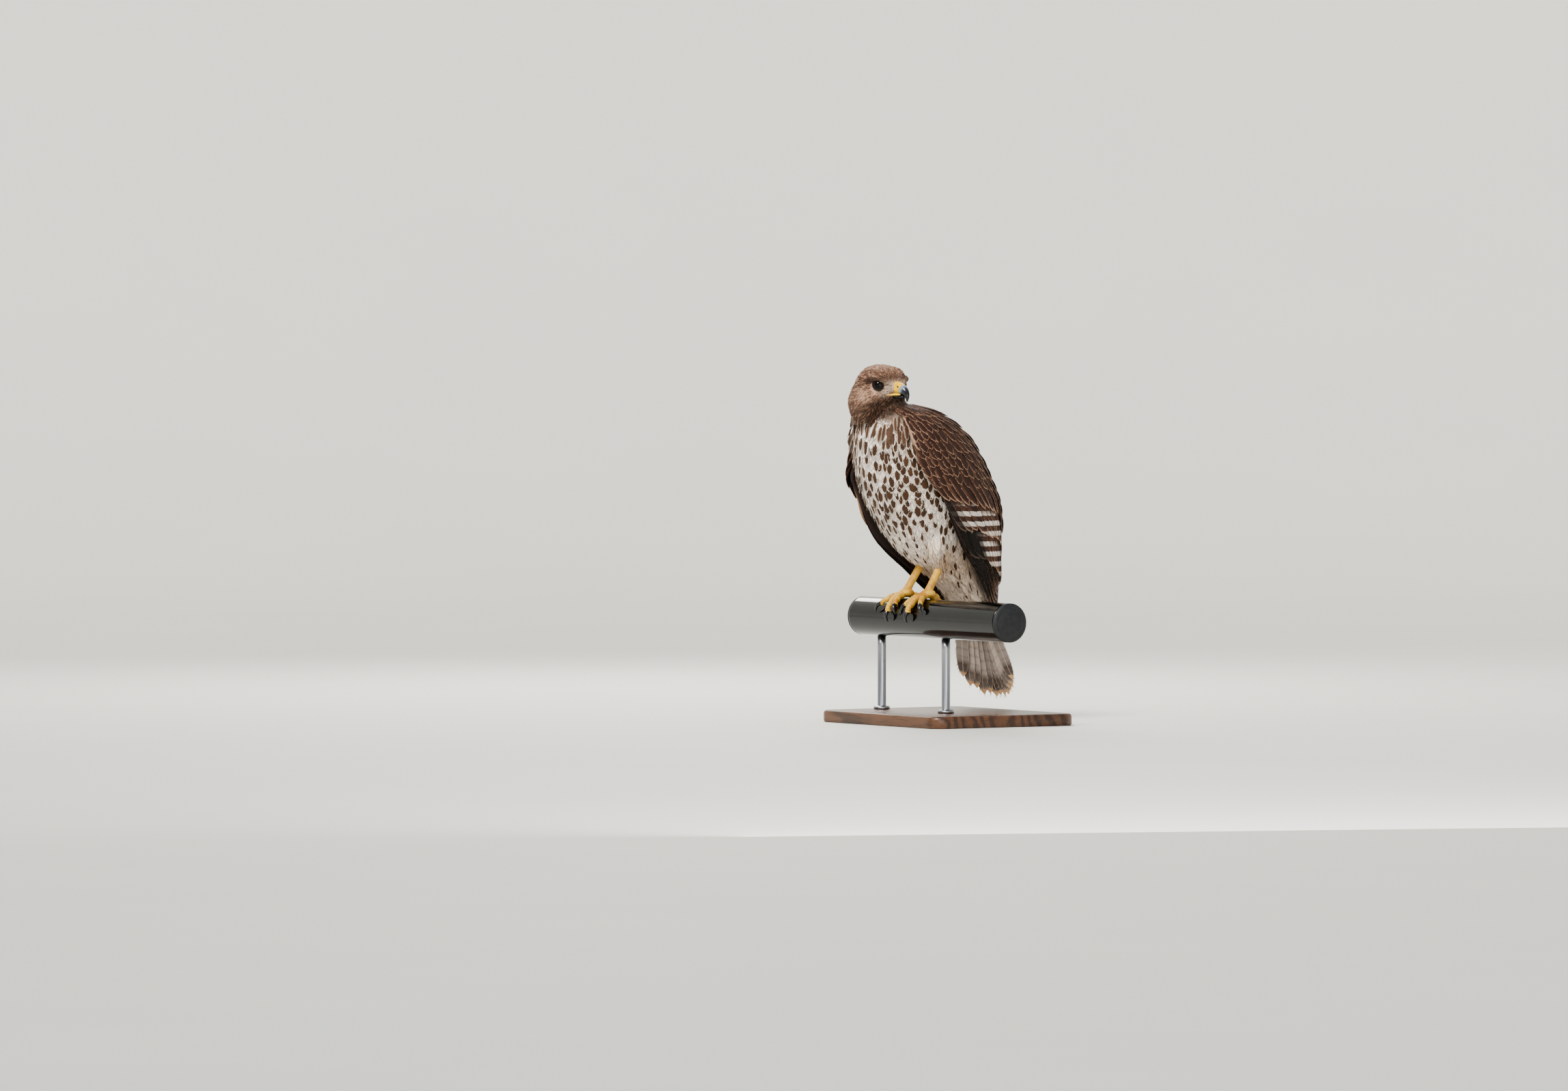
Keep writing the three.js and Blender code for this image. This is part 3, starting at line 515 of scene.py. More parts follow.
class Graph:
    """A small builder of procedural materials."""

    COAT_ROUGHNESS = 0.04

    def __init__(self, name: str, roughness: float, metallic: float = 0.0, coat: float = 0.0,
                 sheen: float = 0.0, specular: float = 0.5) -> None:
        """Starts a material.

        Args:
            name: Its name.
            roughness: Of the base.
            metallic: How metallic it is.
            coat: Weight of a clear coat.
            sheen: Weight of the sheen.
            specular: Specular level.
        """
        self.material = bpy.data.materials.new(name)
        self.material.use_nodes = True
        self.tree = self.material.node_tree
        self.shader = self.tree.nodes["Principled BSDF"]
        for key, value in (("Roughness", roughness), ("Metallic", metallic), ("Coat Weight", coat),
                           ("Coat Roughness", self.COAT_ROUGHNESS), ("Sheen Weight", sheen),
                           ("Specular IOR Level", specular)):
            self.shader.inputs[key].default_value = value

    def node(self, kind: str, **settings: str | bool) -> bpy.types.Node:
        """A new node.

        Args:
            kind: Its type.
            **settings: Its properties.

        Returns:
            The node.
        """
        made = self.tree.nodes.new(kind)
        for key, value in settings.items():
            setattr(made, key, value)
        return made

    def feed(self, socket: bpy.types.NodeSocket, value: Input) -> None:
        """Links a socket, or sets a constant.

        Args:
            socket: The input.
            value: A signal to link, or a number or colour.
        """
        if isinstance(value, Signal):
            self.tree.links.new(value.socket, socket)
        elif isinstance(value, (tuple, list, np.ndarray)):
            value = list(value)
            short = len(value) == 3 and len(socket.default_value) == 4
            socket.default_value = value + [1.0] if short else value
        else:
            socket.default_value = value

    def math(self, op: str, *values: Input, clamp: bool = False) -> Signal:
        """A sum of one or two values.

        Args:
            op: The operation.
            *values: What goes in.
            clamp: Whether it is held between 0 and 1.

        Returns:
            The result.
        """
        made = self.node("ShaderNodeMath", operation=op, use_clamp=clamp)
        for socket, value in zip(made.inputs, values):
            self.feed(socket, value)
        return Signal(self, made.outputs[0])

    def above(self, value: Signal, limit: float = 0.0) -> Signal:
        """The value, or the limit where it is less."""
        return self.math("MAXIMUM", value, limit)

    def step(self, low: float, high: float, value: Signal) -> Signal:
        """A smooth step from 0 at low to 1 at high, which may lie either way round.

        Args:
            low: Where it is 0.
            high: Where it is 1.
            value: What is compared.

        Returns:
            The step.
        """
        made = self.node("ShaderNodeMapRange", interpolation_type="SMOOTHSTEP")
        for key, item in (("Value", value), ("From Min", low), ("From Max", high)):
            self.feed(made.inputs[key], item)
        return Signal(self, made.outputs["Result"])

    def mix(self, factor: Input, a: Input, b: Input) -> Signal:
        """A colour between two.

        Args:
            factor: The second one's share.
            a: The first.
            b: The second.

        Returns:
            The mixed colour.
        """
        made = self.node("ShaderNodeMix", data_type="RGBA")
        for index, item in ((0, factor), (6, a), (7, b)):
            self.feed(made.inputs[index], item)
        return Signal(self, made.outputs[2])

    def scaled(self, color: Signal, factor: Signal) -> Signal:
        """A colour made lighter or darker.

        Args:
            color: The colour.
            factor: By how much.

        Returns:
            The new colour.
        """
        made = self.node("ShaderNodeVectorMath", operation="SCALE")
        self.feed(made.inputs[0], color)
        self.feed(made.inputs["Scale"], factor)
        return Signal(self, made.outputs[0])

    def place(self) -> Signal:
        """The object's own coordinates."""
        return Signal(self, self.node("ShaderNodeTexCoord").outputs["Object"])

    def noise(self, scale: float, detail: float = 3.0, stretch: tuple = (1, 1, 1)) -> Signal:
        """Noise over the object's own coordinates.

        Args:
            scale: How fine it is.
            detail: How many octaves it has.
            stretch: Scale along each axis.

        Returns:
            The noise, from 0 to 1.
        """
        space = self.node("ShaderNodeMapping")
        self.feed(space.inputs["Vector"], self.place())
        space.inputs["Scale"].default_value = stretch
        made = self.node("ShaderNodeTexNoise")
        self.feed(made.inputs["Vector"], Signal(self, space.outputs[0]))
        made.inputs["Scale"].default_value = scale
        made.inputs["Detail"].default_value = detail
        return Signal(self, made.outputs["Fac"])

    def attribute(self, name: str, kind: str = "Color") -> Signal:
        """A mesh attribute, as a Color, a Vector or a Fac."""
        return Signal(self, self.node("ShaderNodeAttribute", attribute_name=name).outputs[kind])

    def vane(self) -> list[Signal]:
        """The places across and along a feather."""
        return self.split(Signal(self, self.node("ShaderNodeUVMap", uv_map="Vane").outputs[0]))[:2]

    def split(self, vector: Signal) -> list[Signal]:
        """The three parts of a vector.

        Args:
            vector: The vector.

        Returns:
            X, Y and Z.
        """
        made = self.node("ShaderNodeSeparateXYZ")
        self.feed(made.inputs[0], vector)
        return [Signal(self, socket) for socket in made.outputs]

    def bump(self, height: Signal, strength: float, distance: float) -> None:
        """Adds relief to the surface, over any that it has.

        Args:
            height: The relief.
            strength: How much of it shows.
            distance: Its depth in metres.
        """
        made = self.node("ShaderNodeBump")
        made.inputs["Strength"].default_value = strength
        made.inputs["Distance"].default_value = distance
        self.feed(made.inputs["Height"], height)
        normal = self.shader.inputs["Normal"]
        if normal.is_linked:
            self.tree.links.new(normal.links[0].from_socket, made.inputs["Normal"])
        self.tree.links.new(made.outputs[0], normal)

    def color(self, value: Signal) -> bpy.types.Material:
        """Sets the base colour and gives the material."""
        self.feed(self.shader.inputs["Base Color"], value)
        return self.material


def feather_material(name: str, roughness: float) -> bpy.types.Material:
    """Feathers: each one's base colour, with a dark shaft streak, pale edge and pale bars by its own marks.

    The Vane map runs across and along each feather. Base holds its ground colour and Ink the colour of its
    markings. Marks is the strength of its streak (x), pale edge (y) and bars (z). Where z is negative it makes
    the streak longer.

    Args:
        name: The material's name.
        roughness: Of the vane.

    Returns:
        The material.
    """
    g = Graph(name, roughness, sheen=0.04, specular=0.2)
    u, v = g.vane()
    x = abs((u - 0.5) * 2.0)
    streak, edge, bars = g.split(g.attribute("Marks", "Vector"))
    wobble = g.noise(900, 3) - 0.5
    rough_x = x + wobble * 0.55
    # A teardrop about the shaft, widest three quarters of the way down.
    longer = g.above(bars * -0.45)
    drop = g.step(0.14, 0.52, v + longer) * g.step(1.0, 0.84, v)
    streak_mask = g.step(-0.08, 0.12, streak * drop * 1.35 - rough_x)
    tip = g.math("POWER", rough_x, 2.2) + g.math("POWER", g.above(v), 9.0)
    edge_mask = g.step(0.84, 1.0, tip) * edge
    # The bars lie level over all the feathers of the folded wing, on the far half of each.
    height = g.split(g.place())[2]
    wave = g.math("SINE", height * BAR_WAVE + x * -0.7) + wobble * 1.3
    bar_mask = g.step(-0.1, 0.35, wave) * (g.step(0.5, 0.66, v) * g.above(bars))
    color = g.mix(streak_mask, g.attribute("Base"), g.attribute("Ink"))
    color = g.mix(g.math("MINIMUM", bar_mask, 1.0), color, Tone.WHITE.linear)
    color = g.mix(edge_mask, color, Tone.FRINGE.linear)
    color = g.mix(g.step(0.07, 0.02, x) * 0.35, color, Tone.DARK.linear)
    g.bump(g.math("SINE", (v + x * -0.35) * 190.0), 0.35, 0.00012)
    return g.color(g.scaled(color, g.noise(260, 4) * 0.56 + 0.72))


def tail_material() -> bpy.types.Material:
    """Grey-brown tail feathers with dark bars, a broad dark band before the tip and worn buff tips.

    Returns:
        The material.
    """
    g = Graph("tail_feathers", 0.7, sheen=0.04, specular=0.25)
    u, v = g.vane()
    x = abs((u - 0.5) * 2.0)
    along = v + (g.noise(500, 4) - 0.5) * 0.05
    wave = g.step(0.35, 0.85, g.math("SINE", along * 74.0))
    color = g.mix(wave * 0.22, g.attribute("Base"), Tone.BROWN.linear)
    band = g.step(0.78, 0.88, along) * g.step(0.965, 0.93, along)
    color = g.mix(band * 0.7, color, Tone.DARK.linear)
    color = g.mix(g.step(0.945, 0.97, along), color, Tone.BUFF.linear * 1.3)
    color = g.mix(g.step(0.86, 1.0, x) * 0.45, color, Tone.CREAM.linear)
    color = g.mix(g.step(0.08, 0.03, x) * 0.55, color, Tone.CREAM.linear)
    g.bump(g.math("SINE", (v + x * -0.12) * 620.0), 0.3, 0.0001)
    return g.color(color)


def skin_material() -> bpy.types.Material:
    """The skin under the feathers, with their ground colours and the fluff of their roots.

    Returns:
        The material.
    """
    g = Graph("skin_under_feathers", 0.85, sheen=0.1)
    fluff = g.noise(420, 5, (1, 1, 0.35))
    g.bump(fluff, 0.6, 0.0008)
    return g.color(g.scaled(g.attribute("Base"), fluff * 0.6 + 0.55))


def plain_material(finish: Finish) -> bpy.types.Material:
    """A surface of two close tones mottled by noise, with fine relief.

    Args:
        finish: How it looks.

    Returns:
        The material.
    """
    g = Graph(finish.name, finish.roughness, finish.metallic, finish.coat)
    cloud = g.noise(finish.scale, 5, finish.stretch)
    fine = g.noise(finish.scale * 7, 2, finish.stretch)
    spread = (fine - 0.5) * 0.16
    g.feed(g.shader.inputs["Roughness"], g.math("ADD", finish.roughness, spread, clamp=True))
    g.bump(fine, finish.bump, 0.0003)
    return g.color(g.mix(g.step(0.3, 0.7, cloud), finish.color, finish.deep))


def scale_material(name: str, color: tuple, deep: tuple) -> bpy.types.Material:
    """Yellow leg skin with small horny scales, and painted shade that darkens the creases between them.

    Args:
        name: The material's name.
        color: Its main tone.
        deep: Its worn tone; darker copies of it paint shade into the creases.

    Returns:
        The material.
    """
    g = Graph(name, 0.5)
    cells = g.node("ShaderNodeTexVoronoi", feature="DISTANCE_TO_EDGE")
    g.feed(cells.inputs["Vector"], g.place())
    cells.inputs["Scale"].default_value = 620
    plate = g.step(0.0, 0.16, Signal(g, cells.outputs["Distance"]))
    body = g.mix(g.step(0.35, 0.75, g.noise(90, 4)), color, deep)
    # Painted shade: darker in the grooves between the small scales and along the creases between scutes.
    body = g.mix(g.math("SUBTRACT", 1.0, plate) * 0.35, body, tuple(0.35 * c for c in deep))
    body = g.mix(g.attribute("Crease", "Fac") * 0.5, body, tuple(0.22 * c for c in deep))
    g.bump(plate, 0.35, 0.0003)
    return g.color(body)


def bill_material() -> bpy.types.Material:
    """Horn that goes from pale blue-grey at its base to black at the hook, with fine growth lines.

    Returns:
        The material.
    """
    g = Graph("bill_horn", 0.24, coat=0.35)
    lines = g.noise(500, 4, (1, 1, 0.25))
    share = g.attribute("Along", "Fac") + (lines - 0.5) * 0.18
    color = g.mix(g.step(0.0, 0.30, share), srgb(146, 160, 178), srgb(46, 50, 60))
    g.bump(lines, 0.12, 0.0002)
    return g.color(g.mix(g.step(0.2, 0.5, share), color, srgb(15, 15, 18)))


def cere_material() -> bpy.types.Material:
    """Waxy yellow skin, greyer where it meets the feathers.

    Returns:
        The material.
    """
    g = Graph("cere_wax", 0.38, coat=0.25)
    cloud = g.noise(300, 4)
    color = g.mix(g.step(0.4, 0.62, cloud), srgb(244, 200, 44), srgb(226, 172, 40))
    g.bump(cloud, 0.25, 0.0002)
    return g.color(g.mix(g.step(0.35, 0.0, g.attribute("Along", "Fac")), color, srgb(196, 170, 110)))


def eye_material() -> bpy.types.Material:
    """A dark brown iris about a black pupil, under a clear wet surface.

    Returns:
        The material.
    """
    g = Graph("eye_wet", 0.03, specular=0.22)
    off = g.attribute("Along", "Fac")
    iris = g.mix(g.noise(700, 3), srgb(28, 17, 12), srgb(48, 29, 19))
    color = g.mix(g.step(0.46, 0.5, off), (0.002, 0.002, 0.002), iris)
    return g.color(g.mix(g.step(0.78, 0.88, off), color, (0.004, 0.003, 0.003)))


def wood_material() -> bpy.types.Material:
    """Oiled walnut with long grain along X.

    Returns:
        The material.
    """
    g = Graph("walnut", 0.42, coat=0.15)
    y = g.split(g.place())[1]
    ring = g.step(-0.6, 1.0, g.math("SINE", y * 420.0 + g.noise(9, 3, (0.6, 2.4, 2.4)) * 26.0))
    fibre = g.noise(700, 4, (0.05, 1, 1))
    color = g.mix(ring, srgb(98, 66, 44), srgb(66, 42, 28))
    g.bump(fibre, 0.22, 0.0003)
    return g.color(g.mix(g.step(0.45, 0.75, fibre) * 0.6, color, srgb(40, 25, 17)))


def rail_material() -> bpy.types.Material:
    """Gloss black paint with faint ripple and a little dust.

    Returns:
        The material.
    """
    g = Graph("rail_gloss_black", 0.12, coat=0.5, specular=0.22)
    dust = g.noise(900, 3)
    g.feed(g.shader.inputs["Roughness"], dust * 0.12 + 0.10)
    g.bump(g.noise(38, 2, (0.35, 1, 1)), 0.25, 0.0006)
    g.bump(dust, 0.08, 0.0002)
    return g.color(g.mix(g.step(0.62, 0.74, dust) * 0.03, srgb(6, 7, 8), srgb(80, 82, 82)))


# Feathers

ROOT_SINK = 0.4


@dataclass
class Vanes:
    """Many feathers at once, each with its spine, width and marks.

    Attributes:
        spine: Points along each shaft (count, rows, 3), in row millimetres.
        out: Outward directions at those points.
        across: Directions across the vane at those points.
        half: Half width of each feather.
        base: Ground colour of each.
        ink: Colour of each one's markings.
        marks: Strength of the streak, edge and bars of each.
        place: Root's place on the unwrap, for the bake map.
        rounding: Share of the length after which the vane rounds off to its tip.
        root: Width at the root, over the full width.
        camber: How far the margins bend in, over the half width.
        patch: Size of each one's patch on the bake map.
        columns: Points across.
        ragged: How uneven the margin is.
        fringe: How many loose barbs each has.
        fringe_length: Their length, over the full width.
        flat_back: Whether the underside's faces are shaded flat.
        seed: Of the random draws.
    """
    spine: np.ndarray
    out: np.ndarray
    across: np.ndarray
    half: np.ndarray
    base: np.ndarray
    ink: np.ndarray
    marks: np.ndarray
    place: np.ndarray
    rounding: float = 0.5
    root: float = 0.45
    camber: float = 0.16
    patch: tuple[float, float] = (0.003, 0.003)
    columns: int = 5
    ragged: float = 0.06
    fringe: int = 0
    fringe_length: float = 0.3
    flat_back: bool = False
    seed: int = SEED

    def mesh(self, name: str) -> bpy.types.Mesh:
        """One joined mesh of all of them, each a thin closed vane with a fringe of loose barbs.

        Args:
            name: The mesh's name.

        Returns:
            The mesh, with its Vane and OFBake maps and its colours.
        """
        rng = np.random.default_rng(self.seed)
        n, rows = self.spine.shape[:2]
        t = np.linspace(0, 1, rows)
        past = (t - self.rounding) / (1 - self.rounding)
        cap = np.where(t > self.rounding, np.sqrt(np.maximum(0.0, 1 - past**2)), 1)
        outline = np.maximum(cap, 0.10) * (self.root + (1 - self.root) * np.minimum(1, t / 0.35))
        c = np.linspace(-1, 1, self.columns)
        jitter = 1 + rng.normal(0, self.ragged, (n, rows, 2))
        side = np.where(c[None, None] < 0, jitter[..., :1], jitter[..., 1:])
        reach = self.half[:, None, None] * outline[None, :, None] * side * c[None, None]
        drop = -self.camber * self.half[:, None, None] * outline[None, :, None] * c[None, None] ** 2
        points = (self.spine[:, :, None] + self.across[:, :, None] * reach[..., None]
                  + self.out[:, :, None] * drop[..., None])
        per = rows * self.columns
        quads = []
        for r in range(rows - 1):
            for k in range(self.columns - 1):
                a = r * self.columns + k
                quads.append((a, a + 1, a + 1 + self.columns, a + self.columns))
            a, b = r * self.columns, r * self.columns + self.columns - 1
            quads.append((a, a + self.columns, b + self.columns, b))
        ends = [list(range(self.columns))[::-1], [per - self.columns + k for k in range(self.columns)]]
        offset = (np.arange(n) * per)[:, None, None]
        all_quads = (np.array(quads)[None] + offset).reshape(-1, 4)
        all_ends = (np.array(ends)[None] + offset).reshape(-1, self.columns)
        uv_point = np.stack(np.meshgrid((c + 1) / 2, t), -1).reshape(-1, 2)
        vertices = [points.reshape(-1, 3)]
        vane_uv = [np.tile(uv_point, (n, 1))]
        owner = [np.repeat(np.arange(n), per)]
        faces = all_quads.tolist() + all_ends.tolist()
        if self.fringe:
            for kept, new in zip((vertices, vane_uv, owner), self._strands(rng, points, uv_point)):
                kept.append(new)
            faces += (np.arange(len(vertices[1])).reshape(-1, 3) + n * per).tolist()
        mesh = mesh_from(name, np.concatenate(vertices), faces)
        if self.flat_back:
            smooth_faces = np.ones(len(mesh.polygons), bool)
            smooth_faces[:len(all_quads)] = np.tile([True] * (self.columns - 1) + [False], n * (rows - 1))
            mesh.polygons.foreach_set("use_smooth", smooth_faces)
        self._paint(mesh, np.concatenate(vane_uv), np.concatenate(owner))
        return mesh

    def _strands(self, rng: np.random.Generator, points: np.ndarray,
                 uv_point: np.ndarray) -> tuple[np.ndarray, np.ndarray, np.ndarray]:
        """Loose barbs that leave the vane's margin towards its tip.

        Args:
            rng: The random draw.
            points: The vanes' points.
            uv_point: Places on the Vane map of one vane's points.

        Returns:
            The barbs' points, their places on the Vane map and the feather that each belongs to.
        """
        n, rows = points.shape[:2]
        pick_row = rng.integers(int(rows * 0.35), rows, (n, self.fringe))
        right = rng.random((n, self.fringe)) < 0.5
        middle = rng.random((n, self.fringe)) < 0.25
        col = np.where(right, self.columns - 1, 0)
        inner = rng.integers(1, self.columns - 1, (n, self.fringe))
        col = np.where(middle & (pick_row >= rows - 2), inner, col)
        which = np.arange(n)[:, None]
        root = points[which, pick_row, col]
        run = unit(self.spine[:, -1] - self.spine[:, -2])[:, None]
        sign = np.where(col == 0, -1, np.where(col == self.columns - 1, 1, 0))[..., None]
        splay = rng.uniform(0.15, 0.6, sign.shape)
        over = self.out[which, pick_row]
        rise = over * rng.normal(-0.03, 0.10, sign.shape)
        aim = unit(run + self.across[which, pick_row] * sign * splay + rise)
        size = self.half[:, None, None] * 2 * self.fringe_length * rng.uniform(0.5, 1.2, sign.shape)
        flat = unit(np.cross(aim, over)) * (self.half[:, None, None] * 0.055)
        foot = root - aim * size * 0.25 + over * 0.05
        strand = np.stack([foot - flat, foot + flat, root + aim * size], 2).reshape(-1, 3)
        base_uv = uv_point.reshape(rows, self.columns, 2)[pick_row, col]
        return strand, np.repeat(base_uv.reshape(-1, 2), 3, 0), np.repeat(np.arange(n), self.fringe * 3)

    def _paint(self, mesh: bpy.types.Mesh, vane_uv: np.ndarray, owner: np.ndarray) -> None:
        """Writes both maps and the colours.

        Args:
            mesh: The mesh.
            vane_uv: Each point's place on the Vane map.
            owner: The feather that each point belongs to.
        """
        loops = np.empty(len(mesh.loops), np.int32)
        mesh.loops.foreach_get("vertex_index", loops)
        bake = self.place[owner] + (vane_uv - 0.5) * np.array(self.patch)
        for key, places in (("Vane", vane_uv), ("OFBake", bake)):
            mesh.uv_layers.new(name=key).data.foreach_set("uv", places[loops].astype(np.float32).ravel())
        set_values(mesh, "Base", opaque(self.base)[owner])
        set_values(mesh, "Ink", opaque(self.ink)[owner])
        set_values(mesh, "Marks", self.marks[owner])


def straight_spines(root: np.ndarray, out: np.ndarray, along: np.ndarray, length: np.ndarray,
                    lift: np.ndarray, bend: np.ndarray,
                    rows: int) -> tuple[np.ndarray, np.ndarray, np.ndarray]:
    """Spines of short feathers that leave the skin low, rise and then bend back to the body.

    Args:
        root: Root points.
        out: Skin normals.
        along: Directions that the feathers run.
        length: Lengths.
        lift: Height of each tip over its length.
        bend: How much each curls back in, over its length.
        rows: Points on each spine.

    Returns:
        Spine points, outward and across directions.
    """
    t = np.linspace(0, 1, rows)[None, :, None]
    length, lift, bend = length[:, None, None], lift[:, None, None], bend[:, None, None]
    height = length * (lift * t - bend * t**2) - ROOT_SINK * (1 - t)
    spine = root[:, None] + along[:, None] * length * t + out[:, None] * height
    run = unit(np.gradient(spine, axis=1))
    across = unit(np.cross(run, np.broadcast_to(out[:, None], run.shape)))
    return spine, unit(np.cross(across, run)), across


# The skin

HEAD_RELIEF = [((EYE_SIDE + 6.4, -EYE_FORWARD - 3.0, EYE_UP - 0.5), -3.9, 7.6), ((24, -4, -12), 1.0, 9.0),
               ((6.5, -29, 3), 1.8, 5.0), ((14.5, -17.5, 21), 3.2, 8.5), ((21, 23, -12), 5.2, 15.0)]
SHIN_TO_HEEL = {"left": -4, "right": 4}


def head_relief(local: np.ndarray) -> np.ndarray:
    """How far the head's skin stands out from its plain form: eye sockets, cheeks and the cere's rim.

    Args:
        local: Points of the head.

    Returns:
        The height at each.
    """
    raised = np.zeros(len(local))
    for side in (-1, 1):
        for spot, height, reach in HEAD_RELIEF:
            far = np.linalg.norm(local - np.array(spot) * np.array([side, 1, 1]), axis=1)
            raised += height * np.exp(-(far / reach) ** 2)
    return raised


def loft_points(form: Form, grow: float, around: int, levels: int) -> np.ndarray:
    """Rings of points on a form, from the bottom up.

    Args:
        form: The form.
        grow: How far outside it they lie.
        around: Points in each ring.
        levels: How many rings there are.

    Returns:
        The points.
    """
    z = np.linspace(form.z[0] - grow, form.z[-1] + grow, levels)
    angle = np.linspace(0, 2 * np.pi, around, endpoint=False)
    return form.point(angle[None], z[:, None], grow).reshape(-1, 3)


def shin(side: str) -> tuple[np.ndarray, np.ndarray]:
    """The foot's middle and the heel, in the rail's axes."""
    heel = np.array([FOOT_X[side] + SHIN_TO_HEEL[side], HEEL_Y, HEEL_Z])
    return np.array([FOOT_X[side], 0, RAIL_R + 7]), heel


def thigh_shape(side: str, grow: float) -> tuple[np.ndarray, list]:
    """The feathered thigh's plain form in the rail's axes.

    Args:
        side: Whose thigh it is.
        grow: How far outside the form it lies.

    Returns:
        Its points and faces.
    """
    foot, heel = shin(side)
    hem = foot + 0.5 * (heel - foot)
    top = np.array([foot[0] + 6 * SIDES[side], 16, 124.0])
    mid = top + 0.55 * (hem - top) - np.array([0, 7, 0])
    radius = spread(16, [0, 0.3, 0.5, 0.7, 0.85, 1], [22, 20.5, 18.5, 14, 11.5, 8.4]) + grow
    return tube(catmull(np.array([top, mid, hem]), 16), radius, 24, np.array([0, -1.0, 0]))


class Skin:
    """One closed skin over head, neck, torso and thighs, and what it knows of every point on it."""

    DEPTH, HEAD_DEPTH, THIGH_DEPTH = 2.6, 1.5, 5.8
    VOXEL = 1.4

    def __init__(self) -> None:
        """Fuses the plain forms to one skin and reads its points."""
        parts = [(BODY.points(loft_points(TORSO_FORM, -self.DEPTH, 64, 60)), ring_faces(60, 64)),
                 (BODY.points(loft_points(NECK_FORM, -self.DEPTH, 56, 20)), ring_faces(20, 56))]
        head = loft_points(HEAD_FORM, 0, 64, 44)
        head = head + unit(head - np.array([0, 4.0, 0])) * (head_relief(head) - self.HEAD_DEPTH)[:, None]
        parts.append((HEAD_POSE.points(head), ring_faces(44, 64)))
        for side in (-1, 1):
            path = catmull(np.array(BROW) * np.array([side, 1, 1]), 30)
            radius = spread(30, [0, 0.3, 0.6, 1], [1.8, 3.0, 3.0, 1.6])
            ridge, faces = tube(path, radius, 14, np.array([0, 0, 1.0]))
            parts.append((HEAD_POSE.points(ridge), faces))
        for side in SIDES:
            points, faces = thigh_shape(side, -self.THIGH_DEPTH)
            parts.append((RAIL.points(points), faces))
        mesh = mesh_from("skin", *merged(parts))
        fix_normals(mesh)
        self.mesh = self._fused(mesh)
        self.points, self.normals = self._read("co") / MM, self._read("normal")

    def _read(self, key: str) -> np.ndarray:
        """One vector of every point of the skin.

        Args:
            key: Which one.

        Returns:
            The vectors.
        """
        values = np.empty(len(self.mesh.vertices) * 3, np.float32)
        self.mesh.vertices.foreach_get(key, values)
        return values.reshape(-1, 3).astype(float)

    @staticmethod
    def _fused(mesh: bpy.types.Mesh) -> bpy.types.Mesh:
        """The overlapping forms as one smooth closed mesh.

        Args:
            mesh: All the forms.

        Returns:
            The skin.
        """
        obj = bpy.data.objects.new("skin_build", mesh)
        bpy.context.scene.collection.objects.link(obj)
        remesh = obj.modifiers.new("fuse", "REMESH")
        remesh.mode, remesh.voxel_size, remesh.use_smooth_shade = "VOXEL", Skin.VOXEL * MM, True
        ease = obj.modifiers.new("ease", "SMOOTH")
        ease.factor, ease.iterations = 0.6, 5
        graph = bpy.context.evaluated_depsgraph_get()
        fused = bpy.data.meshes.new_from_object(obj.evaluated_get(graph))
        bpy.data.objects.remove(obj)
        fused.name = "skin"
        return fused

    def sample(self, rng: np.random.Generator, count: int) -> tuple[np.ndarray, np.ndarray]:
        """Random points all over the skin.

        Args:
            rng: The random draw.
            count: How many.

        Returns:
            The points and their normals.
        """
        self.mesh.calc_loop_triangles()
        tri = np.empty(len(self.mesh.loop_triangles) * 3, np.int32)
        self.mesh.loop_triangles.foreach_get("vertices", tri)
        tri = tri.reshape(-1, 3)
        a, b, c = (self.points[tri[:, k]] for k in range(3))
        area = np.linalg.norm(np.cross(b - a, c - a), axis=1)
        pick = rng.choice(len(tri), count, p=area / area.sum())
        s, t = rng.random((2, count, 1))
        flip = s + t > 1
        s, t = np.where(flip, 1 - s, s), np.where(flip, 1 - t, t)
        shares = [1 - s - t, s, t]
        point = sum(w * self.points[tri[pick, k]] for k, w in enumerate(shares))
        return point, unit(sum(w * self.normals[tri[pick, k]] for k, w in enumerate(shares)))


def eye_place(side: int) -> tuple[np.ndarray, np.ndarray]:
    """An eye's centre and the way it looks, in the skull's frame."""
    look = unit(np.array(EYE_AXIS) * np.array([side, 1, 1]))
    return np.array([side * EYE_SIDE, -EYE_FORWARD, EYE_UP]), look


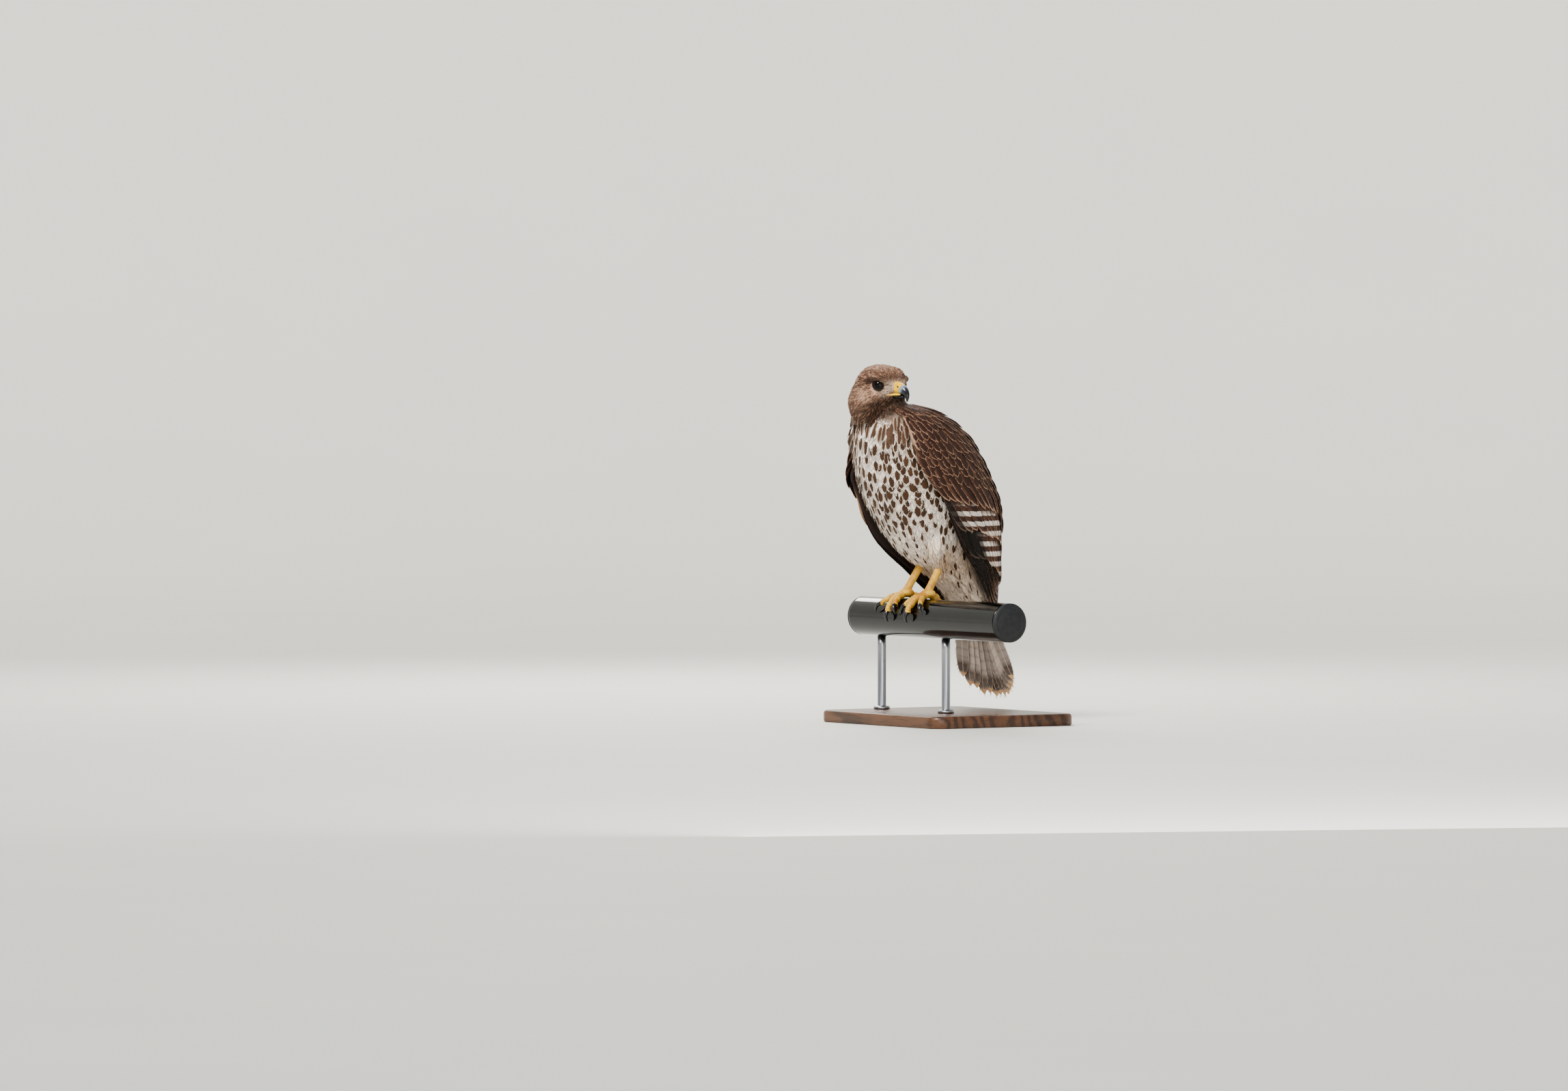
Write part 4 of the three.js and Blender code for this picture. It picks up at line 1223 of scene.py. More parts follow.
@dataclass
class Site:
    """What is known about points of the skin: where they lie and how the feathers there look.

    Attributes:
        row: Places in the row's frame.
        normal: The skin's normals there.
        body: Places in the body's frame.
        head: Places in the skull's frame.
    """
    row: np.ndarray
    normal: np.ndarray
    body: np.ndarray = field(init=False)
    head: np.ndarray = field(init=False)

    def __post_init__(self) -> None:
        """Works out the places in each frame and how far each point belongs to head or leg."""
        self.body = BODY.local(self.row)
        self.head = HEAD_POSE.local(self.row)
        x, y, z = self.body.T
        middle = TORSO_FORM.at(z)[:, 1:3].mean(1)
        self.turn = np.arctan2(x, -(y - middle))
        self.angle = np.degrees(np.abs(self.turn))
        r = np.linalg.norm(self.head - np.array([0, 4, -2]), axis=1)
        self.on_head = smooth(46, 38, r) * smooth(-42, -30, self.head[:, 2])
        self.rail = self.row - PERCH_AT
        legs = []
        for side, x in FOOT_X.items():
            top = np.array([x, 12, 100.0])
            axis = np.array([x - 2 * SIDES[side], 18, 56.0]) - top
            t = np.clip((self.rail - top) @ axis / (axis @ axis), 0, 1)
            legs.append(np.linalg.norm(self.rail - top - t[:, None] * axis, axis=1) - (19 - 11 * t))
        self.leg = smooth(5, -1, np.min(legs, axis=0)) * smooth(104, 88, self.body[:, 2])

    def flow(self) -> np.ndarray:
        """The way feathers lie.

        Returns:
            A direction for each point.
        """
        down = np.tile([0.0, 0.05, -1.0], (len(self.row), 1))
        tail = np.tile([0.0, 0.42, -0.9], (len(self.row), 1))
        low = smooth(110, 60, self.body[:, 2])[:, None]
        body = BODY.turn(down * (1 - low) + tail * low)
        leg = np.tile([0.0, 0.1, -1.0], (len(self.row), 1))
        body = body * (1 - self.leg[:, None]) + leg * self.leg[:, None]
        away = self.head - np.array([0, -30, 2.0])
        away = unit(away) + np.array([0, 0.55, -0.25])
        cheek = smooth(4, -14, self.head[:, 2])[:, None]
        away = unit(away) + cheek * np.array([0, 0.25, -0.9])
        head = HEAD_POSE.turn(unit(away))
        h = self.on_head[:, None]
        return unit(head * h + body * (1 - h))

    def radius(self) -> np.ndarray:
        """How far apart feathers grow.

        Returns:
            The distance at each point.
        """
        z = self.body[:, 2]
        body = np.interp(z, [-5, 40, 80, 120, 170, 215, 245], [6.0, 5.6, 4.6, 4.6, 4.4, 3.7, 3.0])
        back = smooth(100, 130, self.angle)
        body = body * (1 - back) + np.interp(z, [150, 235], [7.0, 4.2]) * back
        body = body * (1 - self.leg) + 3.3 * self.leg
        face = smooth(-6, -24, self.head[:, 1])
        head = 1.65 - 0.6 * face + 0.5 * smooth(-14, -34, self.head[:, 2])
        return head * self.on_head + body * (1 - self.on_head)

    def bare(self) -> np.ndarray:
        """Where no feather grows: eyes, cere, under the wings and where the shanks leave.

        Returns:
            Whether each point is bare.
        """
        gone = np.zeros(len(self.row), bool)
        for side in (-1, 1):
            eye, look = eye_place(side)
            rel = self.head - eye
            off = np.linalg.norm(rel - (rel @ look)[:, None] * look, axis=1)
            gone |= (off < 6.9) & (rel @ look > -3)
        x, y, z = self.head.T
        gone |= (y < -26) & (np.abs(x) < 6.3) & (z < 9.5) & (z > -8.5)
        high = self.body[:, 2]
        front = np.interp(high, [20, 48, 81, 114, 153, 209, 228], [128, 116, 104, 96, 84, 76, 76])
        back = np.interp(high, [60, 130, 200, 236], [178, 176, 168, 160])
        gone |= (self.angle > front) & (self.angle < back) & (high < 214) & (self.on_head < 0.3)
        return gone | (high < 2) | ((self.leg > 0.5) & (self.rail[:, 2] < 58))


THIN_CELL = 6.0


def blend(a: np.ndarray, b: np.ndarray, share: np.ndarray) -> np.ndarray:
    """Colours between two sets, by a share for each."""
    return a * (1 - share[:, None]) + b * share[:, None]


def paint_head(site: Site, rng: np.random.Generator) -> np.ndarray:
    """Ground colours of the head's feathers, with painted shadow under the brows.

    Args:
        site: The points.
        rng: The random draw.

    Returns:
        The colours.
    """
    n = len(site.row)
    chance = rng.random(n)
    y, z = site.head[:, 1], site.head[:, 2]
    head = blend(np.tile(Tone.HEAD_BROWN.linear, (n, 1)), Tone.HEAD_PALE.linear, 0.55 * (chance > 0.6))
    head = blend(head, Tone.RUFOUS.linear * 0.8, 0.12 * smooth(8, 18, z))
    pale = 0.5 * smooth(18, 27, z) + 0.3 * smooth(16, 34, y) * (chance > 0.3)
    head = blend(head, Tone.HEAD_PALE.linear, pale)
    cheek = smooth(13, 5, np.hypot((y + 4) * 0.7, z + 5))
    head = blend(head, Tone.HEAD_PALE.linear, 0.62 * cheek)
    lore = smooth(-17, -22, y) * smooth(13, 8, z) * smooth(-8, -3, z)
    head = blend(head, Tone.LORE.linear, 0.85 * lore)
    line = z + 0.5 + 0.45 * (y + 20)
    chin = smooth(1, -11, line) * (0.35 + 0.65 * smooth(8, -14, y)) * smooth(28, 8, y)
    head = blend(head, Tone.THROAT.linear, chin * np.where(chance > 0.28, 0.95, 0.3))
    near_eye = np.hypot(y + EYE_FORWARD + 2, z - EYE_UP)
    behind = smooth(3.4, 1.0, np.abs(z - 9.4 - 0.08 * (y + 8))) * smooth(-14, -9, y) * smooth(6, -1, y)
    # Painted shadow under the brow ridge: dark just above the eye and, in broken spots, along its front
    # towards the bill.
    above = smooth(10.2, 8.0, near_eye) * smooth(8.5, 11, z)
    front = smooth(5, 1.5, np.hypot(y + 22.5, (z - 13.5) * 0.8)) * (chance > 0.35)
    # The dark line behind the eye, together with the painted brow shadow.
    dark = np.maximum(np.maximum(0.8 * behind, 0.85 * above), 0.75 * front)
    return blend(head, Tone.DARK.linear, dark)


def paint_site(site: Site, rng: np.random.Generator) -> tuple[np.ndarray, np.ndarray, np.ndarray]:
    """Ground colour, marking colour and marks of the feathers at a site.

    Args:
        site: The points.
        rng: The random draw.

    Returns:
        Base and ink colours, and the streak, edge and bar strengths.
    """
    n = len(site.row)
    z, angle = site.body[:, 2], site.angle
    chance = rng.random(n)
    breast = blend(np.tile(Tone.WHITE.linear, (n, 1)), Tone.CREAM.linear, 0.4 * chance)
    flank = smooth(112, 76, z) * smooth(-6, 20, site.body[:, 1]) * smooth(40, 60, z)
    breast = blend(breast, Tone.BUFF.linear, 0.5 * flank)
    breast = blend(breast, Tone.CREAM.linear, 0.6 * smooth(80, 50, z))
    breast = blend(breast, Tone.CREAM.linear, 0.8 * smooth(30, 70, angle) * smooth(150, 215, z))
    brown = rng.random(n) < smooth(-12, 14, z - 231 + 0.32 * np.minimum(angle, 100))
    breast = blend(breast, Tone.HEAD_BROWN.linear, np.where(brown, rng.uniform(0.55, 1.0, n), 0))
    back = smooth(78, 100, angle) * np.maximum(smooth(96, 124, z), smooth(116, 140, angle))
    back = np.maximum(back, smooth(62, 92, angle) * smooth(206, 228, z))
    base = blend(breast, Tone.BROWN.linear * 1.15, back)
    ink = blend(np.tile(Tone.BROWN.linear, (n, 1)), Tone.DARK.linear, back)
    streak = 0.45 * back + np.where(brown, 0.35, 0.0) * (1 - back)
    edge = 0.8 * back
    base = blend(base, Tone.BUFF.linear, np.where(chance > 0.5, 0.45, 0.12) * site.leg)
    h = site.on_head
    base = blend(base, paint_head(site, rng), h)
    streak = streak * (1 - h) + np.where(chance < 0.5, 0.34, 0.0) * h
    edge = edge * (1 - h)
    base = base * rng.uniform(0.88, 1.08, (n, 1))
    return base, ink, np.stack([streak, edge, np.zeros(n)], 1)


def mark_spacing(site: Site) -> np.ndarray:
    """How far apart the marked feathers of the underparts lie, closest on the upper breast and flanks.

    Args:
        site: The points.

    Returns:
        The distance at each.
    """
    z = site.body[:, 2]
    apart = np.interp(z, [20, 60, 84, 104, 128, 152, 178, 204, 226, 242],
                      [26, 20, 12, 8.6, 7.2, 6.2, 5.4, 4.8, 3.9, 3.5])
    middle = smooth(38, 12, np.abs(site.angle * np.sign(site.body[:, 0]) + 8))
    middle = middle * smooth(150, 190, z) * smooth(236, 214, z)
    return apart + 3.2 * middle + 1.5 * smooth(100, 70, z) * smooth(60, 20, site.angle)


def marked(site: Site) -> np.ndarray:
    """Where the underparts carry marked feathers."""
    z = site.body[:, 2]
    clear = (smooth(88, 62, z) * (site.angle < 40) > 0.6) | (site.on_head >= 0.6) | (site.leg >= 0.6)
    return (z > 22) & (z < 256) & (site.angle < 96) & ~clear & ~site.bare()


def thin_out(points: np.ndarray, radius: np.ndarray) -> np.ndarray:
    """Picks points in order, each farther from the ones already picked than its radius.

    Args:
        points: The points.
        radius: The least distance of each, at most the cell's size.

    Returns:
        The picked points' indices.
    """
    grid: dict = {}
    keep = []
    keys = np.floor(points / THIN_CELL).astype(int)
    near = [(i, j, k) for i in (-1, 0, 1) for j in (-1, 0, 1) for k in (-1, 0, 1)]
    for index, (point, limit, key) in enumerate(zip(points.tolist(), radius.tolist(), keys.tolist())):
        x, y, z = point
        if not any((other[0] - x) ** 2 + (other[1] - y) ** 2 + (other[2] - z) ** 2 < limit * limit
                   for i, j, k in near for other in grid.get((key[0] + i, key[1] + j, key[2] + k), ())):
            grid.setdefault(tuple(key), []).append(point)
            keep.append(index)
    return np.array(keep)


@dataclass(frozen=True)
class Layer:
    """How high the feathers of a coat stand, and how finely they are drawn."""
    lift: tuple[float, float] = (0.11, 0.2)
    bend: tuple[float, float] = (0.03, 0.1)
    rows: int = 6
    columns: int = 5
    fringe: int = 18
    fringe_length: float = 0.42
    rounding: float = 0.45


class Plumage:
    """The skin and the coats of small feathers over it."""

    PIECES = {"head": Layer((0.07, 0.14), (0.02, 0.07), 5, 3, 9, 0.6, 0.3),
              "neck": Layer((0.08, 0.15), (0.02, 0.07)),
              "breast": Layer((0.07, 0.13), (0.02, 0.07), fringe_length=0.3),
              "belly": Layer((0.08, 0.15), (0.02, 0.08)),
              "legs": Layer((0.11, 0.24), (0.03, 0.1), 6, 5, 20, 0.5)}
    MARKED = Layer((0.22, 0.27), (0.10, 0.13), 10, 7, 22, 0.24, 0.35)
    ROOTS, ROOTS_QUICK, ROOTS_MARKED = 240000, 100000, 40000
    OVERHANG_Z = 215.0

    def __init__(self) -> None:
        """Makes the skin and the feathers' material."""
        self.rng = np.random.default_rng(SEED)
        self.skin = Skin()
        self.material = feather_material("body_feathers", 0.78)

    def build(self) -> None:
        """Makes the skin and every coat."""
        self._skin_piece()
        site = self._grow(self.ROOTS, Site.radius, lambda s: ~s.bare())
        size = site.radius() * self.rng.uniform(0.88, 1.12, len(site.row))
        base, ink, marks = paint_site(site, self.rng)
        # Head, legs, neck, breast and, for the rest, belly, by their order in PIECES.
        high = site.body[:, 2]
        piece = np.select([site.on_head > 0.4, site.leg > 0.5, high > 196, high > 118], [0, 4, 1, 2], 3)
        h = site.on_head
        low = smooth(-14, -32, site.head[:, 2]) * h
        nape = smooth(80, 120, site.angle) * smooth(212, 232, site.body[:, 2]) * (1 - h)
        length = size * (3.7 + 0.3 * h + 1.3 * low + 1.6 * site.leg - 0.9 * nape)
        half = size * (1.02 - 0.32 * h)
        slope = self._neck_slope(site)
        length = length * (1 - 0.3 * slope)
        raised = 1 - 0.6 * low - 0.8 * slope
        for k, (name, layer) in enumerate(self.PIECES.items()):
            pick = np.flatnonzero(piece == k)
            self._coat(name, layer, site, length, half, (base, ink, marks), pick, raised)
        self._marked()

    @staticmethod
    def _neck_slope(site: Site) -> np.ndarray:
        """Where the neck widens into the shoulders, so that feathers lie closer and curl in."""
        return smooth(226, 240, site.body[:, 2]) * smooth(30, 60, site.angle) * (1 - site.on_head)

    def _grow(self, count: int, spacing: Callable, allowed: Callable, squeeze: float = 1.0) -> Site:
        """Feather roots all over the skin where they are allowed, no closer than their spacing.

        Args:
            count: How many points are drawn.
            spacing: Function that gives the spacing at a site.
            allowed: Function that says where one may grow.
            squeeze: Below one, they lie that much farther apart up and down.

        Returns:
            The roots' site.
        """
        point, normal = self.skin.sample(self.rng, count)
        site = Site(point, normal)
        live = np.flatnonzero(allowed(site))
        keep = live[thin_out(point[live] * np.array([1, 1, squeeze]), spacing(site)[live])]
        return Site(point[keep], normal[keep])

    def _marked(self) -> None:
        """The feathers of the underparts with a brown teardrop or streak, over the plain ones."""
        rng = self.rng
        site = self._grow(self.ROOTS_MARKED, mark_spacing, marked, 0.5)
        n = len(site.row)
        z = site.body[:, 2]
        base, _, _ = paint_site(site, rng)
        base = blend(base, Tone.WHITE.linear, 0.7 * site.on_head)
        high = smooth(186, 222, z)
        ink = np.tile(Tone.MARK.linear, (n, 1))
        ink = blend(ink, Tone.HEAD_BROWN.linear * 0.6, 0.6 * smooth(204, 234, z))
        ink = ink * rng.uniform(0.8, 1.15, (n, 1))
        strength = np.interp(z, [20, 70, 110, 160, 200, 240], [0.34, 0.46, 0.60, 0.68, 0.60, 0.50])
        marks = np.stack([strength * rng.uniform(0.75, 1.2, n), np.zeros(n), -high], 1)
        length = (18 + 3 * high) * rng.uniform(0.85, 1.15, n)
        half = np.interp(z, [60, 100, 140, 165, 205, 225, 240], [3.0, 3.6, 4.3, 5.0, 4.7, 3.3, 2.7])
        half = half * rng.uniform(0.72, 1.15, n)
        raised = 1 - 0.8 * self._neck_slope(site)
        self._coat("marked", self.MARKED, site, length, half, (base, ink, marks), np.arange(n), raised)

    def _skin_piece(self) -> None:
        """The painted skin, in place of the solids of flesh."""
        site = Site(self.skin.points, self.skin.normals)
        base, _, _ = paint_site(site, np.random.default_rng(SEED + 1))
        set_values(self.skin.mesh, "Base", opaque(base))
        obj = link("skin", self.skin.mesh, skin_material())
        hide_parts("torso", "neck", "head", "thigh_left", "thigh_right")

    def _coat(self, name: str, layer: Layer, site: Site, length: np.ndarray, half: np.ndarray, look: tuple,
              pick: np.ndarray, raised: np.ndarray) -> None:
        """One coat of feathers.

        Args:
            name: What it covers.
            layer: How its feathers stand.
            site: All the roots.
            length: Length at each root.
            half: Half width at each root.
            look: Base, ink and marks at each root.
            pick: The roots that this coat takes.
            raised: How much more or less than the layer says each one stands.
        """
        rng, n = self.rng, len(pick)
        normal, root = site.normal[pick], site.row[pick]
        # Under the head's overhang the feathers hang down and don't follow the skin in to the neck.
        hang = (site.body[pick, 2] > self.OVERHANG_Z) & (normal[:, 2] < -0.15)
        normal = unit(np.where(hang[:, None], normal * np.array([1, 1, 0]) - np.array([0, 0, 0.12]), normal))
        flow = site.flow()[pick]
        flow = unit(flow - np.sum(flow * normal, 1, keepdims=True) * normal)
        flow = unit(flow + np.cross(normal, flow) * rng.normal(0, 0.10, (n, 1)))
        lift = rng.uniform(*layer.lift, n) * raised[pick]
        bend = rng.uniform(*layer.bend, n) + 0.3 * (1 - raised[pick])
        spine, out, across = straight_spines(root, normal, flow, length[pick], lift, bend, layer.rows)
        place = self._unwrap(name, site, pick)
        vanes = Vanes(spine, out, across, half[pick], look[0][pick], look[1][pick], look[2][pick],
                      0.004 + 0.992 * place, rounding=layer.rounding, camber=0.22, columns=layer.columns,
                      ragged=0.08, fringe=layer.fringe, fringe_length=layer.fringe_length,
                      seed=SEED + len(name))
        link("coat_" + name, vanes.mesh("coat_" + name), self.material)

    @staticmethod
    def _unwrap(name: str, site: Site, pick: np.ndarray) -> np.ndarray:
        """Each root's place on an unwrap of the skin.

        Args:
            name: The coat.
            site: All the roots.
            pick: The coat's roots.

        Returns:
            Places by angle and height, or on the head by its two angles.
        """
        if name == "head":
            local = site.head[pick] - np.array([0, 4, 0])
            turn = np.arctan2(local[:, 0], -local[:, 1])
            rise = np.arccos(np.clip(unit(local)[:, 2], -1, 1)) / np.pi
        else:
            turn, high = site.turn[pick], site.body[pick, 2]
            rise = (high - high.min()) / (high.max() - high.min())
        return np.stack([turn / (2 * np.pi) + 0.5, rise], 1)


# Wings

@dataclass(frozen=True)
class Tier:
    """A row of wing feathers on the mantle, from its front to its rear end.

    Attributes:
        name: What they are called.
        count: How many there are.
        root_front: Angle in degrees and height of the front feather's root.
        root_rear: The same of the rear one's root.
        tip_front: The same of the front one's tip.
        tip_rear: The same of the rear one's tip.
        half: Half width at the front and rear.
        lift: How far root and tip stand out from the mantle.
        base: Their ground colour.
        ink: Their markings' colour.
        marks: Strength of the streak, edge and bars.
        rounding: Share of the length after which they round off.
        rows: Points along.
        columns: Points across.
        fringe: Loose barbs on each.
        sway: How unevenly they lie.
        dark_front: Share of the row that is dark, from its front.
    """
    name: str
    count: int
    root_front: tuple[float, float]
    root_rear: tuple[float, float]
    tip_front: tuple[float, float]
    tip_rear: tuple[float, float]
    half: tuple[float, float]
    lift: tuple[float, float]
    base: Tone
    ink: Tone
    marks: tuple[float, float, float]
    rounding: float = 0.6
    rows: int = 14
    columns: int = 9
    fringe: int = 6
    sway: float = 1.0
    dark_front: float = -1.0


def wing_tiers() -> list[Tier]:
    """All the tiers of one wing.

    Returns:
        The tiers, the lowest layer first.
    """
    dark, brown, black = Tone.DARK, Tone.BROWN, Tone.BLACKISH
    tiers = [
        Tier("primaries", 12, (66, 124), (98, 114), (98, 3), (126, 38), (8, 9), (-4.5, -2.2), black, dark,
             (0.2, 0.35, 0.0), 0.86, 22),
        Tier("secondaries", 12, (70, 150), (134, 138), (86, 70), (154, 32), (9, 10.5), (-4, -0.4), brown,
             black, (0.1, 0.5, 1.2), 0.8, 20, dark_front=0.26),
        Tier("tertials", 4, (140, 150), (170, 140), (150, 62), (170, 46), (11, 12), (-3, 0.9), brown, dark,
             (0.35, 0.7, 0.3), 0.72, 18),
        Tier("greater_coverts", 12, (62, 178), (126, 162), (77, 104), (140, 82), (8.5, 10), (-3, 1.0), brown,
             dark, (0.35, 0.7, 0.85), 0.7, 16, dark_front=0.1),
        Tier("median_coverts", 12, (56, 204), (126, 190), (67, 138), (131, 116), (8, 9.5), (-2, 1.8), brown,
             dark, (0.5, 0.8, 0.0), 0.55, 14),
    ]
    for k in range(9):
        z = 158 + 10.2 * k
        tiers.append(Tier(f"lesser_coverts_{k + 1}", 13 - k // 3, (57 - k, z + 24), (122, z + 22),
                          (57 - 0.7 * k, z - 3), (122 + 0.8 * k, z - 8), (6.4, 7.4), (-1.5, 2.0), brown, dark,
                          (0.5, 0.8, 0.0), 0.5, 9, 7, sway=2.0))
    for k in range(10):
        z = 104 + 14.5 * k
        grow = 1.35 - 0.06 * k
        tiers.append(Tier(f"scapulars_{k + 1}", 5, (130 - 1.2 * k, z + 30 * grow), (176, z + 28 * grow),
                          (131 - 0.8 * k, z - 2), (175, z - 6), (9.6 * grow, 9.6 * grow), (-1.5, 2.9), brown,
                          dark, (0.5, 0.85, 0.0), 0.5, 11, sway=2.0))
    return tiers


class Wing:
    """One folded wing: the dark base under its feathers and the tiers over it."""

    TOP = 249.0
    ROLL = math.radians(7)

    def __init__(self, side: str, material: bpy.types.Material) -> None:
        """Takes the wing's side and its material.

        Args:
            side: Its side.
            material: The feathers' material.
        """
        self.side, self.material = side, material
        self.mirror = np.array([SIDES[side], 1, 1])
        self.form = mantle_form(side)
        self.rng = np.random.default_rng(SEED + (3 if side == "left" else 4))

    def _ends(self, tier: Tier, front: tuple[float, float], rear: tuple[float, float]) -> tuple:
        """One end of every feather of a tier.

        Args:
            tier: The tier.
            front: Angle and height at its front.
            rear: The same at its rear.

        Returns:
            Angles in degrees and heights.
        """
        u = np.linspace(0, 1, tier.count)
        a = front[0] + (rear[0] - front[0]) * u + self.rng.normal(0, 0.5 * tier.sway, tier.count)
        z = front[1] + (rear[1] - front[1]) * u + self.rng.normal(0, 1.0 * tier.sway, tier.count)
        if self.side == "right":
            a = a + TUCK_TURN * (1 - u) * smooth(TUCK_FROM, TUCK_FULL, z)
        return a[:, None], np.minimum(z, self.TOP)[:, None]

    def tier(self, tier: Tier, start: int, total: int) -> Vanes:
        """The vanes of one tier.

        Args:
            tier: The tier.
            start: How many feathers of the wing come before it.
            total: How many feathers the piece holds, for its bake map.

        Returns:
            Its vanes.
        """
        rng, n = self.rng, tier.count
        u = np.linspace(0, 1, n)
        t = np.linspace(0, 1, tier.rows)[None]
        a0, z0 = self._ends(tier, tier.root_front, tier.root_rear)
        a1, z1 = self._ends(tier, tier.tip_front, tier.tip_rear)
        angle = np.radians(a0 + (a1 - a0) * t)
        z = z0 + (z1 - z0) * t
        out = self.form.normal(angle, z)
        rise = tier.lift[0] + (tier.lift[1] - tier.lift[0]) * np.minimum(1, t * 1.5)
        rise = rise + rng.normal(0, 0.12, (n, 1)) + 0.35 * (np.arange(n)[:, None] % 2) * t
        spine = self.form.point(angle, z) + out * rise[..., None]
        run = unit(np.gradient(spine, axis=1))
        across = unit(np.cross(out, run)) * math.cos(self.ROLL) - out * math.sin(self.ROLL)
        half = tier.half[0] + (tier.half[1] - tier.half[0]) * u
        base = np.tile(tier.base.linear, (n, 1)) * rng.uniform(0.8, 1.2, (n, 1))
        ink = np.tile(tier.ink.linear, (n, 1))
        marks = np.tile(tier.marks, (n, 1)) * rng.uniform(0.75, 1.15, (n, 3))
        dark = smooth(tier.dark_front + 0.14, tier.dark_front - 0.14, u)
        base = blend(base, Tone.BLACKISH.linear, dark)
        marks = marks * (1 - dark[:, None] * np.array([0.5, 0.7, 1.0]))
        if self.side == "left" and tier.name.startswith("lesser") and 190 < tier.tip_front[1] < 220:
            base = blend(base, Tone.FRINGE.linear, 0.6 * smooth(0.09, 0.0, u))
        if self.side == "right" and tier.name == "greater_coverts":
            base = blend(base, Tone.BUFF.linear, smooth(0.2, 0.05, u))
        cells = math.ceil(math.sqrt(total))
        return Vanes(BODY.points(spine * self.mirror), BODY.turn(out * self.mirror),
                     BODY.turn(across * self.mirror), half, base, ink, marks,
                     grid_places(start + np.arange(n), cells), rounding=tier.rounding, root=0.5, camber=0.1,
                     patch=(0.8 / cells, 0.9 / cells), columns=tier.columns, ragged=0.02, fringe=tier.fringe,
                     fringe_length=0.1, seed=SEED + start)

    def build(self) -> None:
        """Makes the wing's pieces."""
        tiers = wing_tiers()
        for group, members in (("flight", tiers[:3]), ("coverts", tiers[3:])):
            total = sum(t.count for t in members)
            start, meshes = 0, []
            for tier in members:
                vanes = self.tier(tier, start, total)
                meshes.append(vanes.mesh(tier.name))
                start += tier.count
            name = f"wing_{self.side}_{group}"
            link(name, joined(name, meshes), self.material)
        self._base()

    def _base(self) -> None:
        """The wing's body under the feathers, as thick as the arm and the feather roots."""
        levels, around = 46, 26
        z = np.linspace(8, 236, levels)
        front = np.interp(z, [8, 19, 48, 81, 114, 153, 180, 209, 226, 236],
                          [108, 98, 84, 72, 66, 59, 56, 52, 56, 70])
        rear = np.interp(z, [8, 60, 130, 200, 236], [124, 158, 172, 172, 150])
        front = front + (TUCK_TURN * smooth(TUCK_FROM, TUCK_FULL, z) if self.side == "right" else 0)
        share = np.linspace(0, 1, around)[None]
        angle = np.radians(front[:, None] + (rear - front)[:, None] * share)
        height = np.broadcast_to(z[:, None], angle.shape)
        normal = self.form.normal(angle, height)
        outer = self.form.point(angle, height) - normal * 2.6
        thick = 3.0 + 4.5 * np.sin(np.pi * share) ** 0.5 * smooth(40, 150, height)
        ring = np.concatenate([outer, (outer - normal * thick[..., None])[:, ::-1]], 1)
        points = BODY.points(ring.reshape(-1, 3) * self.mirror)
        closed_piece(f"wing_{self.side}_base", (points, ring_faces(levels, 2 * around)),
                     bpy.data.materials["skin_under_feathers"], "wing_plumage", f"wing_{self.side}",
                     Base=opaque(np.tile(Tone.DARK.linear, (len(points), 1))))


def joined(name: str, meshes: list[bpy.types.Mesh]) -> bpy.types.Mesh:
    """Joins meshes that share maps and colours.

    Args:
        name: The new mesh's name.
        meshes: The meshes.

    Returns:
        The one mesh.
    """
    objects = []
    for mesh in meshes:
        obj = bpy.data.objects.new(mesh.name, mesh)
        bpy.context.scene.collection.objects.link(obj)
        objects.append(obj)
    first = objects[0]
    with bpy.context.temp_override(active_object=first, selected_editable_objects=objects, object=first):
        bpy.ops.object.join()
    mesh = first.data
    bpy.data.objects.remove(first)
    mesh.name = name
    return mesh


